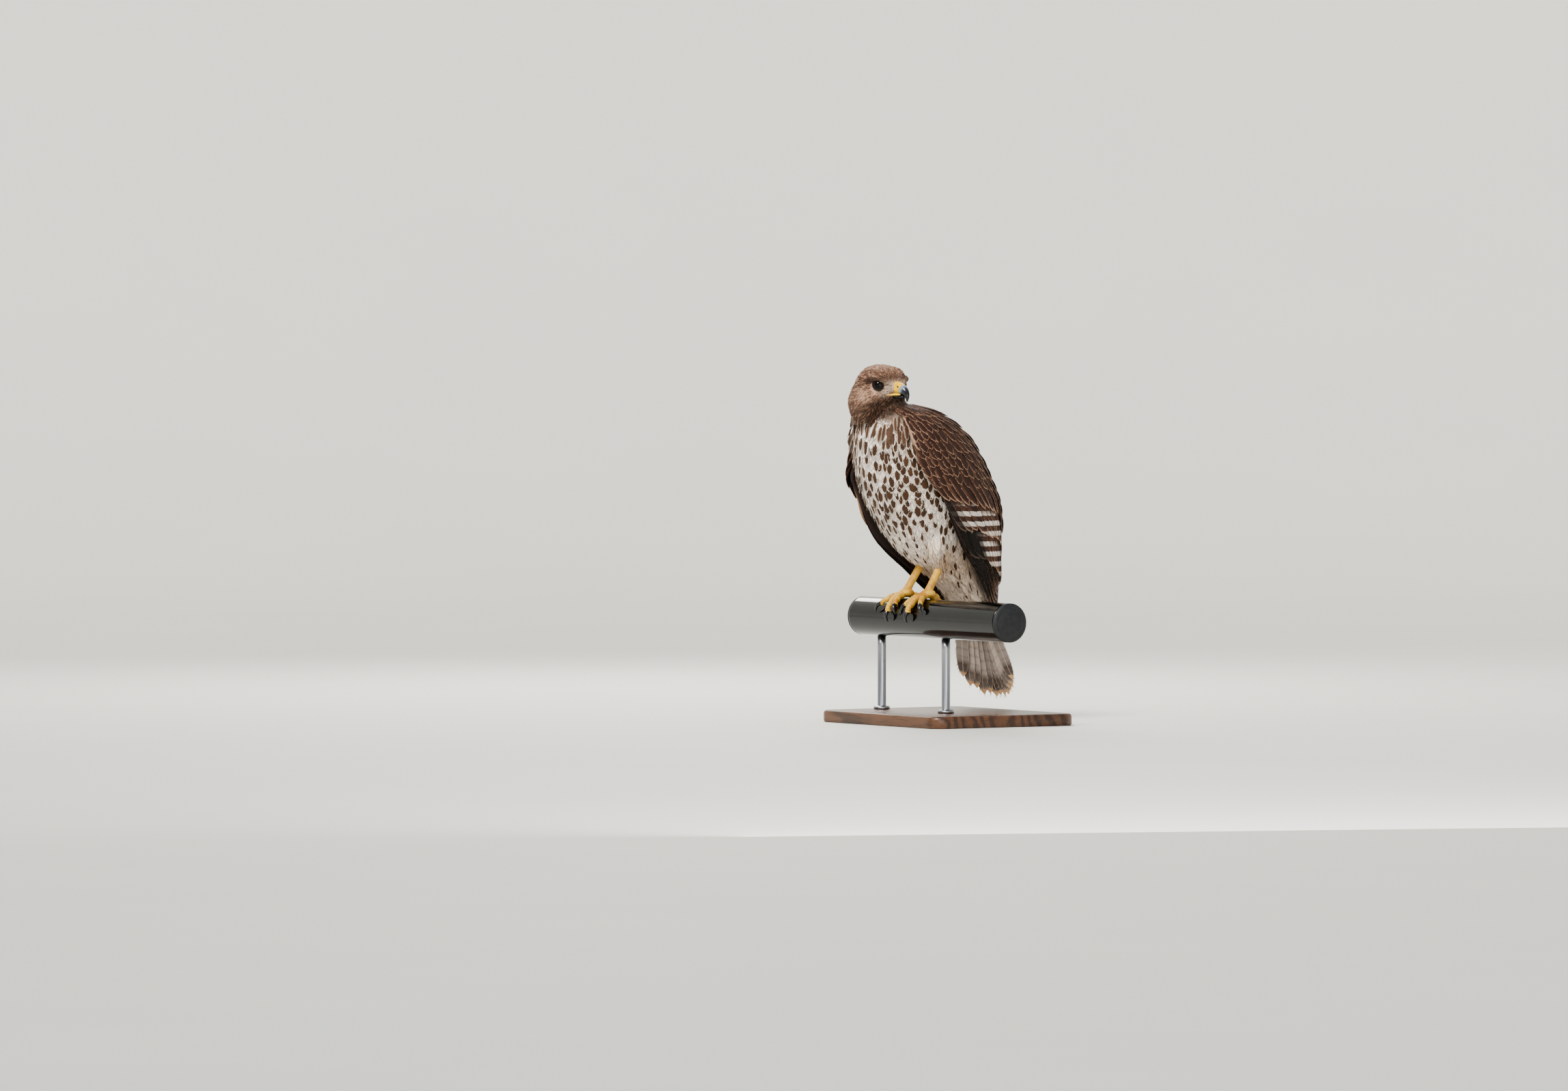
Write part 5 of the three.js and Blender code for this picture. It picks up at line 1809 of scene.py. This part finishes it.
class Tail:
    """The hanging tail: rectrices, and the coverts over and under their roots."""

    PAIRS, ROOT_Y, ROOT_Z, DROP, LEAN = 6, 94.0, 40.0, 135.0, 50.0
    SPREAD, HALF, STEP, BOW, SHORTER = 15.0, 9.2, 1.15, 6.0, 30.0
    SHADES = (0.75, 1.3, 1.9, 2.1, 2.0, 1.1)

    def __init__(self) -> None:
        """Sets the way the tail hangs."""
        self.rng = np.random.default_rng(SEED + 7)
        self.down = unit(np.array([0, self.LEAN, -self.DROP]))
        self.out = unit(np.array([0, self.DROP, self.LEAN]))

    def build(self) -> None:
        """Makes the tail's pieces."""
        spines, outs, acrosses, halves = [], [], [], []
        rows = 26
        t = np.linspace(0, 1, rows)[:, None]
        for side in (-1, 1):
            for i in range(self.PAIRS):
                share = (i + 0.35) / self.PAIRS
                turn = math.radians(self.SPREAD * share * side)
                along = unit(self.down * math.cos(turn) + np.array([math.sin(turn), 0, 0]))
                across = unit(np.cross(self.out, along))
                length = math.hypot(self.DROP, self.LEAN) - self.SHORTER * share**2.5
                length -= abs(self.rng.normal(0, 3.0))
                root = np.array([side * 13 * share, self.ROOT_Y, self.ROOT_Z])
                depth = -self.STEP * (i + (0 if side > 0 else 0.5)) - self.BOW * share**2
                roll = math.radians(4) * side
                spines.append(root + along * length * t + self.out * depth * (0.35 + 0.65 * t))
                outs.append(np.tile(self.out, (rows, 1)))
                acrosses.append(np.tile(across * math.cos(roll) + self.out * math.sin(roll), (rows, 1)))
                halves.append(self.HALF + (1.5 if i == 0 else 0))
        n = len(spines)
        base = np.tile(Tone.GREY.linear, (n, 1)) * np.tile(self.SHADES, 2)[:, None]
        base = base * self.rng.uniform(0.8, 1.15, (n, 1))
        ink = np.tile(Tone.DARK.linear, (n, 1))
        marks = np.tile((0.0, 1.0, 0.0), (n, 1))
        vanes = Vanes(BODY.points(np.array(spines)), BODY.turn(np.array(outs)), BODY.turn(np.array(acrosses)),
                      np.array(halves), base, ink, marks, grid_places(np.arange(n), 4), rounding=0.76,
                      root=0.6, camber=0.06, patch=(0.2, 0.23), columns=11, ragged=0.03, fringe=44,
                      fringe_length=0.28, flat_back=True, seed=SEED + 9)
        obj = link("tail_rectrices", vanes.mesh("tail_rectrices"), tail_material())
        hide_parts("tail")
        self._coverts("undertail_coverts", -1, 34, Tone.WHITE, (0.25, 0.1, 0.0))
        self._coverts("uppertail_coverts", 1, 16, Tone.BROWN, (0.4, 0.8, 0.0))

    def _coverts(self, name: str, face: int, count: int, tone: Tone, marks: tuple) -> None:
        """Long soft feathers that hide the tail's root on one face.

        Args:
            name: The piece's name.
            face: 1 for the upper face and -1 for the under one.
            count: How many feathers.
            tone: Their ground colour.
            marks: Strength of their streak, edge and bars.
        """
        rng = self.rng
        share = rng.uniform(-1, 1, count)
        sideways = share[:, None] * np.array([1.0, 0, 0])
        far = np.sort(rng.uniform(0, 1, count))[::-1]
        root = (np.array([0, self.ROOT_Y, self.ROOT_Z]) - self.down * 30 + far[:, None] * 42 * self.down
                + sideways * 17 + self.out * face * (4.0 if face > 0 else 9.5))
        normal, along = unit(self.out * face + sideways * 0.5), unit(self.down + sideways * 0.1)
        length = rng.uniform(30, 42, count)
        spine, out, across = straight_spines(root, normal, along, length, np.full(count, 0.06),
                                             np.full(count, 0.09), 10)
        base = np.tile(tone.linear, (count, 1)) * rng.uniform(0.85, 1.05, (count, 1))
        cells = math.ceil(math.sqrt(count))
        vanes = Vanes(BODY.points(spine), BODY.turn(out), BODY.turn(across), rng.uniform(6.5, 8.5, count),
                      base, np.tile(Tone.BROWN.linear, (count, 1)), np.tile(marks, (count, 1)),
                      grid_places(np.arange(count), cells), rounding=0.45, camber=0.2,
                      patch=(0.8 / cells, 0.8 / cells), columns=7, ragged=0.05, fringe=30, fringe_length=0.4,
                      seed=SEED + count)
        link(name, vanes.mesh(name), bpy.data.materials["body_feathers"])


# Head details, in the skull's frame

# Rows of forward place, height, half width, half height and tilt in degrees.
UPPER_BILL = [(-20, 3.5, 6.8, 8, 0), (-29, 3.2, 6.3, 7.4, 6), (-36, 1.8, 5.5, 6.3, 20),
              (-41, -0.8, 4.4, 5, 42), (-44, -4.4, 3.1, 3.6, 66), (-45, -8, 1.9, 2.1, 86),
              (-44.6, -11.6, 0.6, 0.7, 98)]
LOWER_BILL = [(-18, -6.6, 7, 3.6, -6), (-28, -6.2, 5.8, 2.9, -4), (-35, -6.2, 4.2, 2.2, 0),
              (-39.4, -6.4, 2.2, 1.2, 6)]
GAPE = [(4.4, -37.5, -3.6), (6.6, -33, -3.7), (9.4, -28.6, -4.2), (13.2, -23.6, -5.2)]
LID_PROFILE = [(0.0, -0.6), (-0.1, 0.3), (0.25, 0.75), (0.8, 0.85), (1.5, 0.55), (2.1, -0.3), (2.5, -1.4),
               (1.2, -1.4)]
CERE_END = -35.5


class Face:
    """Bill, cere, eyes and lids."""

    def build(self) -> None:
        """Makes every piece of the face."""
        self._bill()
        for name in ("right", "left"):
            self._mouth(SIDES[name], name)
        for name, side in SIDES.items():
            self._eye(side, name)

    @staticmethod
    def _loft(stations: list, steps: int, around: int) -> tuple[np.ndarray, np.ndarray]:
        """Rings along a curve of stations.

        Args:
            stations: Rows of the bill's tables.
            steps: How many rings.
            around: Points in each.

        Returns:
            The rings' points, and each one's share of the way.
        """
        table = np.array(stations, float)
        curve = catmull(np.column_stack([table[:, 0], table[:, 1], np.zeros(len(table))]), steps)
        far = np.concatenate([[0], np.cumsum(np.linalg.norm(np.diff(table[:, :2], axis=0), axis=1))])
        even = np.linspace(0, far[-1], steps)
        wide, high, tilt = (np.interp(even, far, table[:, k])[:, None] for k in (2, 3, 4))
        tilt = np.radians(tilt)
        a = np.linspace(0, 2 * np.pi, around, endpoint=False)[None]
        rise = high * np.sign(np.cos(a)) * np.abs(np.cos(a)) ** 0.9
        points = [wide * np.sin(a), curve[:, :1] - rise * np.sin(tilt), curve[:, 1:2] + rise * np.cos(tilt)]
        return np.stack(points, -1), even / far[-1]

    @staticmethod
    def _piece(name: str, rings: np.ndarray, share: np.ndarray, material: bpy.types.Material, slot: str,
               node: str) -> None:
        """A piece of rings, each with its share of the way.

        Args:
            name: Its name.
            rings: The rings, in the skull's frame.
            share: The share of each.
            material: Its material.
            slot: Not used.
            node: The solid that it replaces.
        """
        levels, around = rings.shape[:2]
        shape = HEAD_POSE.points(rings.reshape(-1, 3)), ring_faces(levels, around)
        closed_piece(name, shape, material, slot, node, Along=np.repeat(share, around))

    def _bill(self) -> None:
        """The cere, the hooked upper bill and the lower bill."""
        upper, _ = self._loft(UPPER_BILL, 60, 40)
        is_cere = upper.mean(1)[:, 1] > CERE_END
        hook, cere = upper[~is_cere], upper[is_cere]
        # The cere swells a little at its rim and opens in a slit for each nostril.
        share = np.linspace(0, 1, len(cere))
        mid = cere.mean(1, keepdims=True)
        cere = mid + (cere - mid) * (1 + 0.045 * np.exp(-((share - 0.93) / 0.06) ** 2))[:, None, None]
        for side in (-1, 1):
            off = cere - np.array([side * 5.6, -33.0, 4.9])
            near = np.linalg.norm(off * np.array([1, 0.75, 1.2]), axis=2)
            cere -= unit(cere - mid) * (1.9 * np.exp(-(near / 1.25) ** 2))[..., None]
        self._piece("cere_wax", cere, share, cere_material(), "cere_skin", "cere")
        horn = bill_material()
        self._piece("bill_hook", hook, np.linspace(0, 1, len(hook)), horn, "horn", "bill_upper")
        lower, share = self._loft(LOWER_BILL, 30, 32)
        self._piece("bill_under", lower, 0.3 + 0.7 * share, horn, "horn", "bill_lower")

    @staticmethod
    def _mouth(side: int, name: str) -> None:
        """The yellow line of the mouth, and a dark disk in the nostril's dent that is painted shade in place
        of its opening.

        Args:
            side: 1 for the left and -1 for the right.
            name: The side's name.
        """
        path = catmull(np.array(GAPE) * np.array([side, 1, 1]), 30)
        points, faces = tube(path, spread(30, [0, 0.25, 0.6, 1], [0.7, 1.35, 1.15, 0.3]), 14,
                             np.array([0, 0, 1.0]))
        closed_piece(f"gape_{name}", (HEAD_POSE.points(points), faces), bpy.data.materials["cere_wax"],
                     "cere_skin", Along=np.full(len(points), 0.8))
        # The nostril: a dark disk set in the cere's dent, painted shade standing in for the dark inside of the
        # opening.
        a = np.linspace(0, 2 * np.pi, 18, endpoint=False)
        rings = [np.stack([np.full(18, side * (4.9 + depth * 0.5)), -33.0 + 1.7 * r * np.cos(a),
                           4.9 + 0.85 * r * np.sin(a) + 0.25 * np.cos(a)], 1)
                 for r, depth in ((0.2, 0.6), (0.8, 0.5), (1.0, 0.0), (0.7, -1.0))]
        closed_piece(f"nostril_{name}", (HEAD_POSE.points(np.concatenate(rings)), ring_faces(4, 18)),
                     bpy.data.materials["lid_skin_and_nostril_shade"], "horn")

    def _eye(self, side: int, name: str) -> None:
        """An eye, with the cornea's slight bulge, and its lids.

        Args:
            side: 1 for the left and -1 for the right.
            name: The side's name.
        """
        centre, look = eye_place(side)
        right = unit(np.cross(look, np.array([0, 0, 1.0])))
        up = np.cross(right, look)
        levels, around = 28, 48
        a = np.linspace(0, 2 * np.pi, around, endpoint=False)
        way = np.cos(a)[:, None] * up + np.sin(a)[:, None] * right
        polar = math.pi * 0.62 * np.arange(levels) / (levels - 1)
        rings = [centre + EYE_R * (1 + 0.05 * math.exp(-((p / 0.62) ** 2)))
                 * (math.cos(p) * look + max(math.sin(p), 0.004) * way) for p in polar]
        share = np.where(np.arange(levels) > levels * 0.8, 1.0, np.sin(polar))
        material = bpy.data.materials.get("eye_wet") or eye_material()
        self._piece("eye_ball_" + name, np.array(rings), share, material, "eye", "eye_" + name)
        self._lids(name, centre, look, up, side * right)

    @staticmethod
    def _lids(name: str, centre: np.ndarray, look: np.ndarray, up: np.ndarray, front: np.ndarray) -> None:
        """The lids: a thin dark rim about an oval opening that slants down to the bill and is flatter above.

        Args:
            name: The side's name.
            centre: The eye's centre.
            look: The way it looks.
            up: Its way up.
            front: Its way to the bill.
        """
        low_front = front * math.cos(LID_TILT) - up * math.sin(LID_TILT)
        high = up * math.cos(LID_TILT) + front * math.sin(LID_TILT)
        a = np.linspace(0, 2 * np.pi, 64, endpoint=False)
        tall = np.where(np.cos(a) > 0, 4.7, 5.5)
        opening = 1 / np.sqrt((np.cos(a) / tall) ** 2 + (np.sin(a) / 6.5) ** 2)
        way = np.cos(a)[:, None] * high + np.sin(a)[:, None] * low_front
        rim = []
        for grow, raised in LID_PROFILE:
            far = opening + grow
            depth = np.sqrt(np.maximum((EYE_R + raised) ** 2 - far**2, 1.0))
            rim.append(centre + way * far[:, None] + look * depth[:, None])
        around, points = len(a), len(LID_PROFILE)
        faces = []
        for r in range(around):
            for k in range(points):
                j, s = (k + 1) % points, (r + 1) % around
                faces.append((r * points + k, r * points + j, s * points + j, s * points + k))
        closed_piece(f"lid_{name}", (HEAD_POSE.points(np.stack(rim, 1).reshape(-1, 3)), faces),
                     bpy.data.materials["lid_skin_and_nostril_shade"], "horn")


# Legs, in the rail's axes

# Way round the rail, spread sideways, wrap in degrees and radius.
TOES = {"inner": (-1, 12, 56, 3.9), "middle": (-1, 2, 74, 4.2), "outer": (-1, -19, 54, 3.6),
        "hind": (1, 7, 58, 4.3)}
CLAW_LINE = ((-1, 0.6), (3, 2), (7, 1.4), (10, -0.9), (11.4, -3))


def creases(share: np.ndarray, plates: float, sides: int) -> np.ndarray:
    """How near each point of a tube lies to the crease between two scutes, where the scale material paints
    shade.
    """
    saw = (share * plates) % 1.0
    return np.repeat(np.exp(-((saw - 0.97) / 0.10) ** 2) + np.exp(-((saw + 0.03) / 0.10) ** 2), sides)


@dataclass(frozen=True)
class Scutes:
    """Relief of overlapping scutes on a shank, or on a toe with pads under it.

    Attributes:
        plates: How many scutes there are.
        pads: How many pads lie under them, or none on a shank.
    """
    plates: int
    pads: int = 0

    def __call__(self, t: np.ndarray, angle: np.ndarray) -> np.ndarray:
        """The added radius.

        Args:
            t: Share along.
            angle: Angle round, 0 in front.

        Returns:
            The relief there.
        """
        front, back = np.clip(np.cos(angle), 0, 1), np.clip(-np.cos(angle), 0, 1)
        plate = (1 - (t * self.plates) % 1.0) ** 1.4
        if self.pads:
            return 0.34 * plate * front**0.5 + 0.5 * (0.5 + 0.5 * np.cos(t * 2 * np.pi * self.pads)) * back
        plate_back = (1 - (t * self.plates * 0.8 + 0.4) % 1.0) ** 1.4
        return 0.34 * plate * front**0.4 + 0.22 * plate_back * back**0.4


class Leg:
    """A bare shank, a foot that wraps the rail, and its claws."""

    SHANK_STEPS, SHANK_SIDES, SHANK_PLATES = 90, 28, 21
    TOE_STEPS, TOE_SIDES, CLAW_STEPS = 60, 22, 36

    def __init__(self, side: str, material: bpy.types.Material, horn: bpy.types.Material) -> None:
        """Takes the side and the finishes of skin and claws."""
        self.side, self.material, self.horn = side, material, horn
        self.x = FOOT_X[side]

    def build(self) -> None:
        """Makes the shank, the foot and the four claws."""
        foot, heel = shin(self.side)
        points = [foot + f * (heel - foot) for f in (0.0, 0.18, 0.36, 0.54)]
        line = catmull(np.array(points), self.SHANK_STEPS)
        radius = SHANK_R + spread(self.SHANK_STEPS, [0, 0.12, 0.3, 0.8, 1], [1.6, 0.3, 0, 0, 0.6])
        shape = tube(line, radius, self.SHANK_SIDES, np.array([0, -1.0, 0.2]), Scutes(self.SHANK_PLATES))
        share = np.linspace(0, 1, self.SHANK_STEPS)
        self._piece("shank_scales", "shank", shape, creases(share, self.SHANK_PLATES, self.SHANK_SIDES))
        self._foot()

    def _piece(self, name: str, node: str, shape: tuple[np.ndarray, list], crease: np.ndarray) -> None:
        """A piece of scaled skin."""
        closed_piece(f"{name}_{self.side}", (RAIL.points(shape[0]), shape[1]), self.material, "leg_skin",
                     f"{node}_{self.side}", Crease=crease)

    def _toe_path(self, reach: float, sideways: float, wrap: float) -> np.ndarray:
        """Points along a toe, from the foot's middle round the rail.

        Args:
            reach: -1 for a toe in front and 1 for the hind one.
            sideways: How far it spreads to the bird's middle.
            wrap: How far round the rail it goes, in degrees.

        Returns:
            The points.
        """
        t = np.linspace(0, 1, 7)
        angle = reach * math.radians(wrap) * t
        r = RAIL_R + 4.5 + np.where(t == 0, 2.5, 0.9 * np.sin(t * math.pi * 3) ** 2)
        x = self.x - SIDES[self.side] * sideways * t**1.1
        return np.stack([x, np.sin(angle) * r, np.cos(angle) * r], 1)

    def _foot(self) -> None:
        """The toes and the ball of the foot as one piece, and the claws."""
        shapes, crease = [], []
        share = np.linspace(0, 1, self.TOE_STEPS)
        for name, (reach, sideways, wrap, r) in TOES.items():
            path = self._toe_path(reach, sideways, wrap)
            joints = 3 if name != "hind" else 2
            radius = spread(self.TOE_STEPS, [0, 0.5, 1], [r + 0.5, r * 0.9, r * 0.74])
            radius = radius * (1 + 0.07 * np.cos(share * 2 * np.pi * joints))
            plates = 12 if name == "middle" else 9
            outward = unit(path[3] * np.array([0, 1, 1]))
            shapes.append(tube(catmull(path, self.TOE_STEPS), radius, self.TOE_SIDES, outward,
                               Scutes(plates, joints + 1)))
            crease.append(creases(share, plates, self.TOE_SIDES))
            self._claw(name, path)
        z, a = np.linspace(-1, 1, 22)[1:-1, None], np.linspace(0, 2 * np.pi, 30, endpoint=False)
        wide = np.sqrt(1 - z**2)
        ball = np.stack([self.x + 8.5 * wide * np.cos(a), 1 + 9 * wide * np.sin(a),
                         RAIL_R + 6.2 + 5.6 * np.broadcast_to(z, (20, 30))], -1).reshape(-1, 3)
        shapes.append((ball, ring_faces(20, 30)))
        crease.append(np.zeros(len(ball)))
        self._piece("foot_scales", "foot", merged(shapes), np.concatenate(crease))

    def _claw(self, name: str, path: np.ndarray) -> None:
        """A claw at a toe's end.

        Args:
            name: The toe.
            path: The toe's points.
        """
        end = path[-1]
        run, out = unit(end - path[-2]), unit(end * np.array([0, 1, 1]))
        line = catmull(np.array([end + run * a + out * b for a, b in CLAW_LINE]), self.CLAW_STEPS)
        radius = spread(self.CLAW_STEPS, [0, 0.35, 0.75, 0.93, 1], [2.6, 2.2, 1.25, 0.5, 0.12])
        points, faces = tube(line, radius, 18, out)
        closed_piece(f"talon_{self.side}_{name}", (RAIL.points(points), faces), self.horn, "horn",
                     f"claw_{self.side}_{name}")


# Stand and rail, in the row's frame

PLUG_PROFILE = [(0.3, RAIL_R - 0.5), (0.5, RAIL_R), (1.6, RAIL_R), (2.4, RAIL_R - 0.5), (3.2, RAIL_R - 2.2),
                (3.5, RAIL_R - 3.6), (3.3, RAIL_R - 4.6), (3.8, RAIL_R - 6.2), (4.4, RAIL_R * 0.5),
                (5.0, 0.2)]
BASE_PROFILE = [(2.2, 0.0), (0.8, 0.5), (0.0, 1.8), (0.0, 10.0), (0.5, 12.0), (1.6, 13.3), (3.2, 13.9),
                (4.6, 14.0)]
ROD_PROFILE = [(BASE_HIGH + 0.3, 9.0), (BASE_HIGH + 0.9, 9.6), (BASE_HIGH + 3.0, 9.6), (BASE_HIGH + 3.8, 8.6),
               (BASE_HIGH + 4.2, ROD_R + 0.3), (BASE_HIGH + 4.8, ROD_R), (88.0, ROD_R)]
STEEL = Finish("brushed_rod", srgb(176, 178, 180), srgb(150, 152, 155), 0.32, 1.0, 0.0, 60, 0.12,
               (6, 6, 0.15))
PLASTIC = Finish("plug_moulded", srgb(26, 27, 29), srgb(36, 37, 39), 0.55, 0, 0, 180, 0.3)
LID_SKIN_AND_NOSTRIL_SHADE = Finish("lid_skin_and_nostril_shade", srgb(24, 19, 17), srgb(40, 33, 29), 0.45, 0, 0, 400, 0.3)
CLAW_HORN = Finish("claw_horn", srgb(20, 19, 20), srgb(38, 36, 36), 0.22, 0, 0.4, 200, 0.15)


class Stand:
    """The walnut base, the two rods, the cut length of rail and its end plugs."""

    AROUND, ROD_AROUND = 96, 48
    EDGE, CORNER, CORNER_STEPS = 0.6, 18.0, 14

    def build(self) -> None:
        """Gives every solid of the stand its finished surface and rounds what shows."""
        self._rail()
        self._base()
        steel = plain_material(STEEL)
        for side in SIDES:
            self._rod(side, steel)

    def _rail(self) -> None:
        """The painted rail and the plug in each of its ends."""
        stations = [(RAIL_FROM, RAIL_R - self.EDGE), (RAIL_FROM + self.EDGE, RAIL_R)]
        stations += [(v, RAIL_R) for v in np.linspace(RAIL_FROM + 2, RAIL_TO - 2, 40)]
        stations += [(RAIL_TO - self.EDGE, RAIL_R), (RAIL_TO, RAIL_R - self.EDGE)]
        pieces = [("rail_tube", stations, rail_material(), "rail_paint", "perch_rail")]
        plastic = plain_material(PLASTIC)
        for side, end in (("left", RAIL_TO), ("right", RAIL_FROM)):
            profile = [(end + SIDES[side] * s, r) for s, r in PLUG_PROFILE]
            pieces.append((f"rail_plug_{side}", profile, plastic, "plug_plastic", f"perch_plug_{side}"))
        for name, profile, material, slot, node in pieces:
            rings = turned(profile, PERCH_AT, self.AROUND)
            shape = np.concatenate(rings), ring_faces(len(rings), self.AROUND)
            closed_piece(name, shape, material, slot, node)

    def _base(self) -> None:
        """The walnut base, with round corners and an eased edge."""
        a = math.pi / 2 * np.linspace(0, 1, self.CORNER_STEPS + 1)
        middle = np.array([BASE_LONG / 2 - self.CORNER, BASE_WIDE / 2 - self.CORNER])
        points = []
        for inset, z in BASE_PROFILE:
            for k, way in enumerate(((1, 1), (-1, 1), (-1, -1), (1, -1))):
                turn = a + math.pi / 2 * k
                flat = middle * way + (self.CORNER - inset) * np.stack([np.cos(turn), np.sin(turn)], 1)
                points.append(np.column_stack([flat, np.full(len(a), z)]))
        closed_piece("stand_base_walnut", (np.concatenate(points), ring_faces(len(BASE_PROFILE), 4 * len(a))),
                     wood_material(), "base_wood", "stand_base")

    def _rod(self, side: str, steel: bpy.types.Material) -> None:
        """A rod, with its collar on the base and its top cut to the rail's round.

        Args:
            side: Its side.
            steel: Its material.
        """
        foot = np.array([PERCH_AT[0] + ROD_OFFSET * SIDES[side], PERCH_AT[1], 0])
        rings = turned(ROD_PROFILE, foot, self.ROD_AROUND, upright=True)
        for ring in turned([(0, ROD_R), (0, ROD_R - 0.05)], foot, self.ROD_AROUND, upright=True):
            ring[:, 2] = PERCH_AT[2] - np.sqrt((RAIL_R + 0.3) ** 2 - (ring[:, 1] - PERCH_AT[1]) ** 2)
            rings.append(ring)
        closed_piece(f"stand_rod_steel_{side}",
                     (np.concatenate(rings), ring_faces(len(rings), self.ROD_AROUND)), steel, "rod_steel",
                     f"stand_rod_{side}")


class Studio:
    """The floor, the soft lights and the camera at the photograph's angle."""

    AZIMUTH, ELEVATION = math.radians(57.6), math.radians(1.6)
    FOCUS_PX, WIDE_PX, PX_MM, SENSOR = 17570.0, 2296.0, 0.79, 36.0
    AIM_LEFT, AIM_UP = 150.1, 83.8
    FLOOR_FRONT, FLOOR_BACK, SWEEP, WALL, FLOOR_SIDE = 20.0, 4.5, 3.0, 7.0, 26.0
    # Name, kind, azimuth, elevation, distance, power, size and colour of each light.
    LIGHTS = (("key", "SUN", 28, 46, 2.0, 3.4, math.radians(18), (1.0, 0.965, 0.91)),
              ("rim", "AREA", 250, 38, 1.7, 22, 1.0, (1.0, 0.97, 0.92)),
              ("fill", "AREA", 70, 3, 2.4, 16, 1.6, (1.0, 0.98, 0.96)))

    def __init__(self) -> None:
        """Works out the camera's axes."""
        a, e = self.AZIMUTH, self.ELEVATION
        self.right = np.array([math.cos(a), math.sin(a), 0])
        self.back = np.array([math.sin(a) * math.cos(e), -math.cos(a) * math.cos(e), math.sin(e)])
        self.up = np.cross(self.back, self.right)

    def build(self) -> None:
        """Sets up everything that isn't the hawk."""
        self._floor()
        world = bpy.data.worlds.new("studio")
        bpy.context.scene.world = world
        world.use_nodes = True
        bpy.context.scene.view_settings.look = "AgX - Medium High Contrast"
        sky = world.node_tree.nodes["Background"]
        sky.inputs[0].default_value = (0.90, 0.93, 0.97, 1)
        sky.inputs[1].default_value = 0.55
        for light in self.LIGHTS:
            self._light(*light)
        self._camera()

    def _floor(self) -> None:
        """A pale floor that sweeps up into a wall far behind, square to the camera."""
        away = -unit(self.back * np.array([1, 1, 0]))
        profile = [(-self.FLOOR_FRONT, 0.0), (0.0, 0.0), (self.FLOOR_BACK, 0.0)]
        for a in np.linspace(0, math.pi / 2, 24)[1:]:
            profile.append((self.FLOOR_BACK + self.SWEEP * math.sin(a), self.SWEEP * (1 - math.cos(a))))
        profile.append((self.FLOOR_BACK + self.SWEEP, self.WALL))
        points = [away * far + self.right * side + np.array([0, 0, high]) for far, high in profile
                  for side in (-self.FLOOR_SIDE, self.FLOOR_SIDE)]
        faces = [(2 * k, 2 * k + 1, 2 * k + 3, 2 * k + 2) for k in range(len(profile) - 1)]
        floor = mesh_from("floor", np.array(points) / MM, faces)
        obj = bpy.data.objects.new("floor", floor)
        bpy.context.scene.collection.objects.link(obj)
        g = Graph("floor_pale", 0.75)
        floor.materials.append(g.color(g.mix(g.noise(3.0), srgb(218, 218, 212), srgb(212, 212, 207))))

    @staticmethod
    def _light(name: str, kind: str, azimuth: float, elevation: float, far: float, power: float, size: float,
               color: tuple) -> None:
        """A soft light that shines on the bird.

        Args:
            name: Its name.
            kind: SUN or AREA.
            azimuth: Where it stands, in degrees.
            elevation: How high, in degrees.
            far: How far off, in metres.
            power: Its strength.
            size: The sun's angle or the disk's width.
            color: Its colour.
        """
        data = bpy.data.lights.new(name, kind)
        data.energy, data.color = power, color
        if kind == "SUN":
            data.angle = size
        else:
            data.shape, data.size = "DISK", size
        a, e = math.radians(azimuth), math.radians(elevation)
        way = Vector((math.sin(a) * math.cos(e), -math.cos(a) * math.cos(e), math.sin(e)))
        obj = bpy.data.objects.new(name, data)
        obj.location = Vector(PERCH_AT * MM) + Vector((0, 0, 0.09)) + way * far
        obj.rotation_euler = way.to_track_quat("Z", "Y").to_euler()
        bpy.context.scene.collection.objects.link(obj)

    def _camera(self) -> None:
        """The camera, as far off as the photograph's own."""
        aim = PERCH_AT - self.right * self.AIM_LEFT + self.up * self.AIM_UP
        spot = (aim + self.back * self.FOCUS_PX * self.PX_MM) * MM
        data = bpy.data.cameras.new("camera")
        data.sensor_width = self.SENSOR
        data.lens = self.SENSOR * self.FOCUS_PX / self.WIDE_PX
        data.clip_end = 60
        obj = bpy.data.objects.new("camera", data)
        axes = (self.right, self.up, self.back, spot)
        obj.matrix_world = Matrix([[axis[k] for axis in axes] for k in range(3)] + [[0, 0, 0, 1]])
        bpy.context.scene.collection.objects.link(obj)
        bpy.context.scene.camera = obj


def main() -> None:
    """Builds the whole scene."""
    Studio().build()
    plain_material(LID_SKIN_AND_NOSTRIL_SHADE)
    Plumage().build()
    wing_vanes = feather_material("wing_feathers", 0.66)
    for side in SIDES:
        Wing(side, wing_vanes).build()
    Tail().build()
    Face().build()
    yellow = scale_material("leg_scales", srgb(226, 182, 78), srgb(186, 130, 52))
    horn = plain_material(CLAW_HORN)
    for side in SIDES:
        Leg(side, yellow, horn).build()
    Stand().build()


if __name__ == "__main__":
    main()
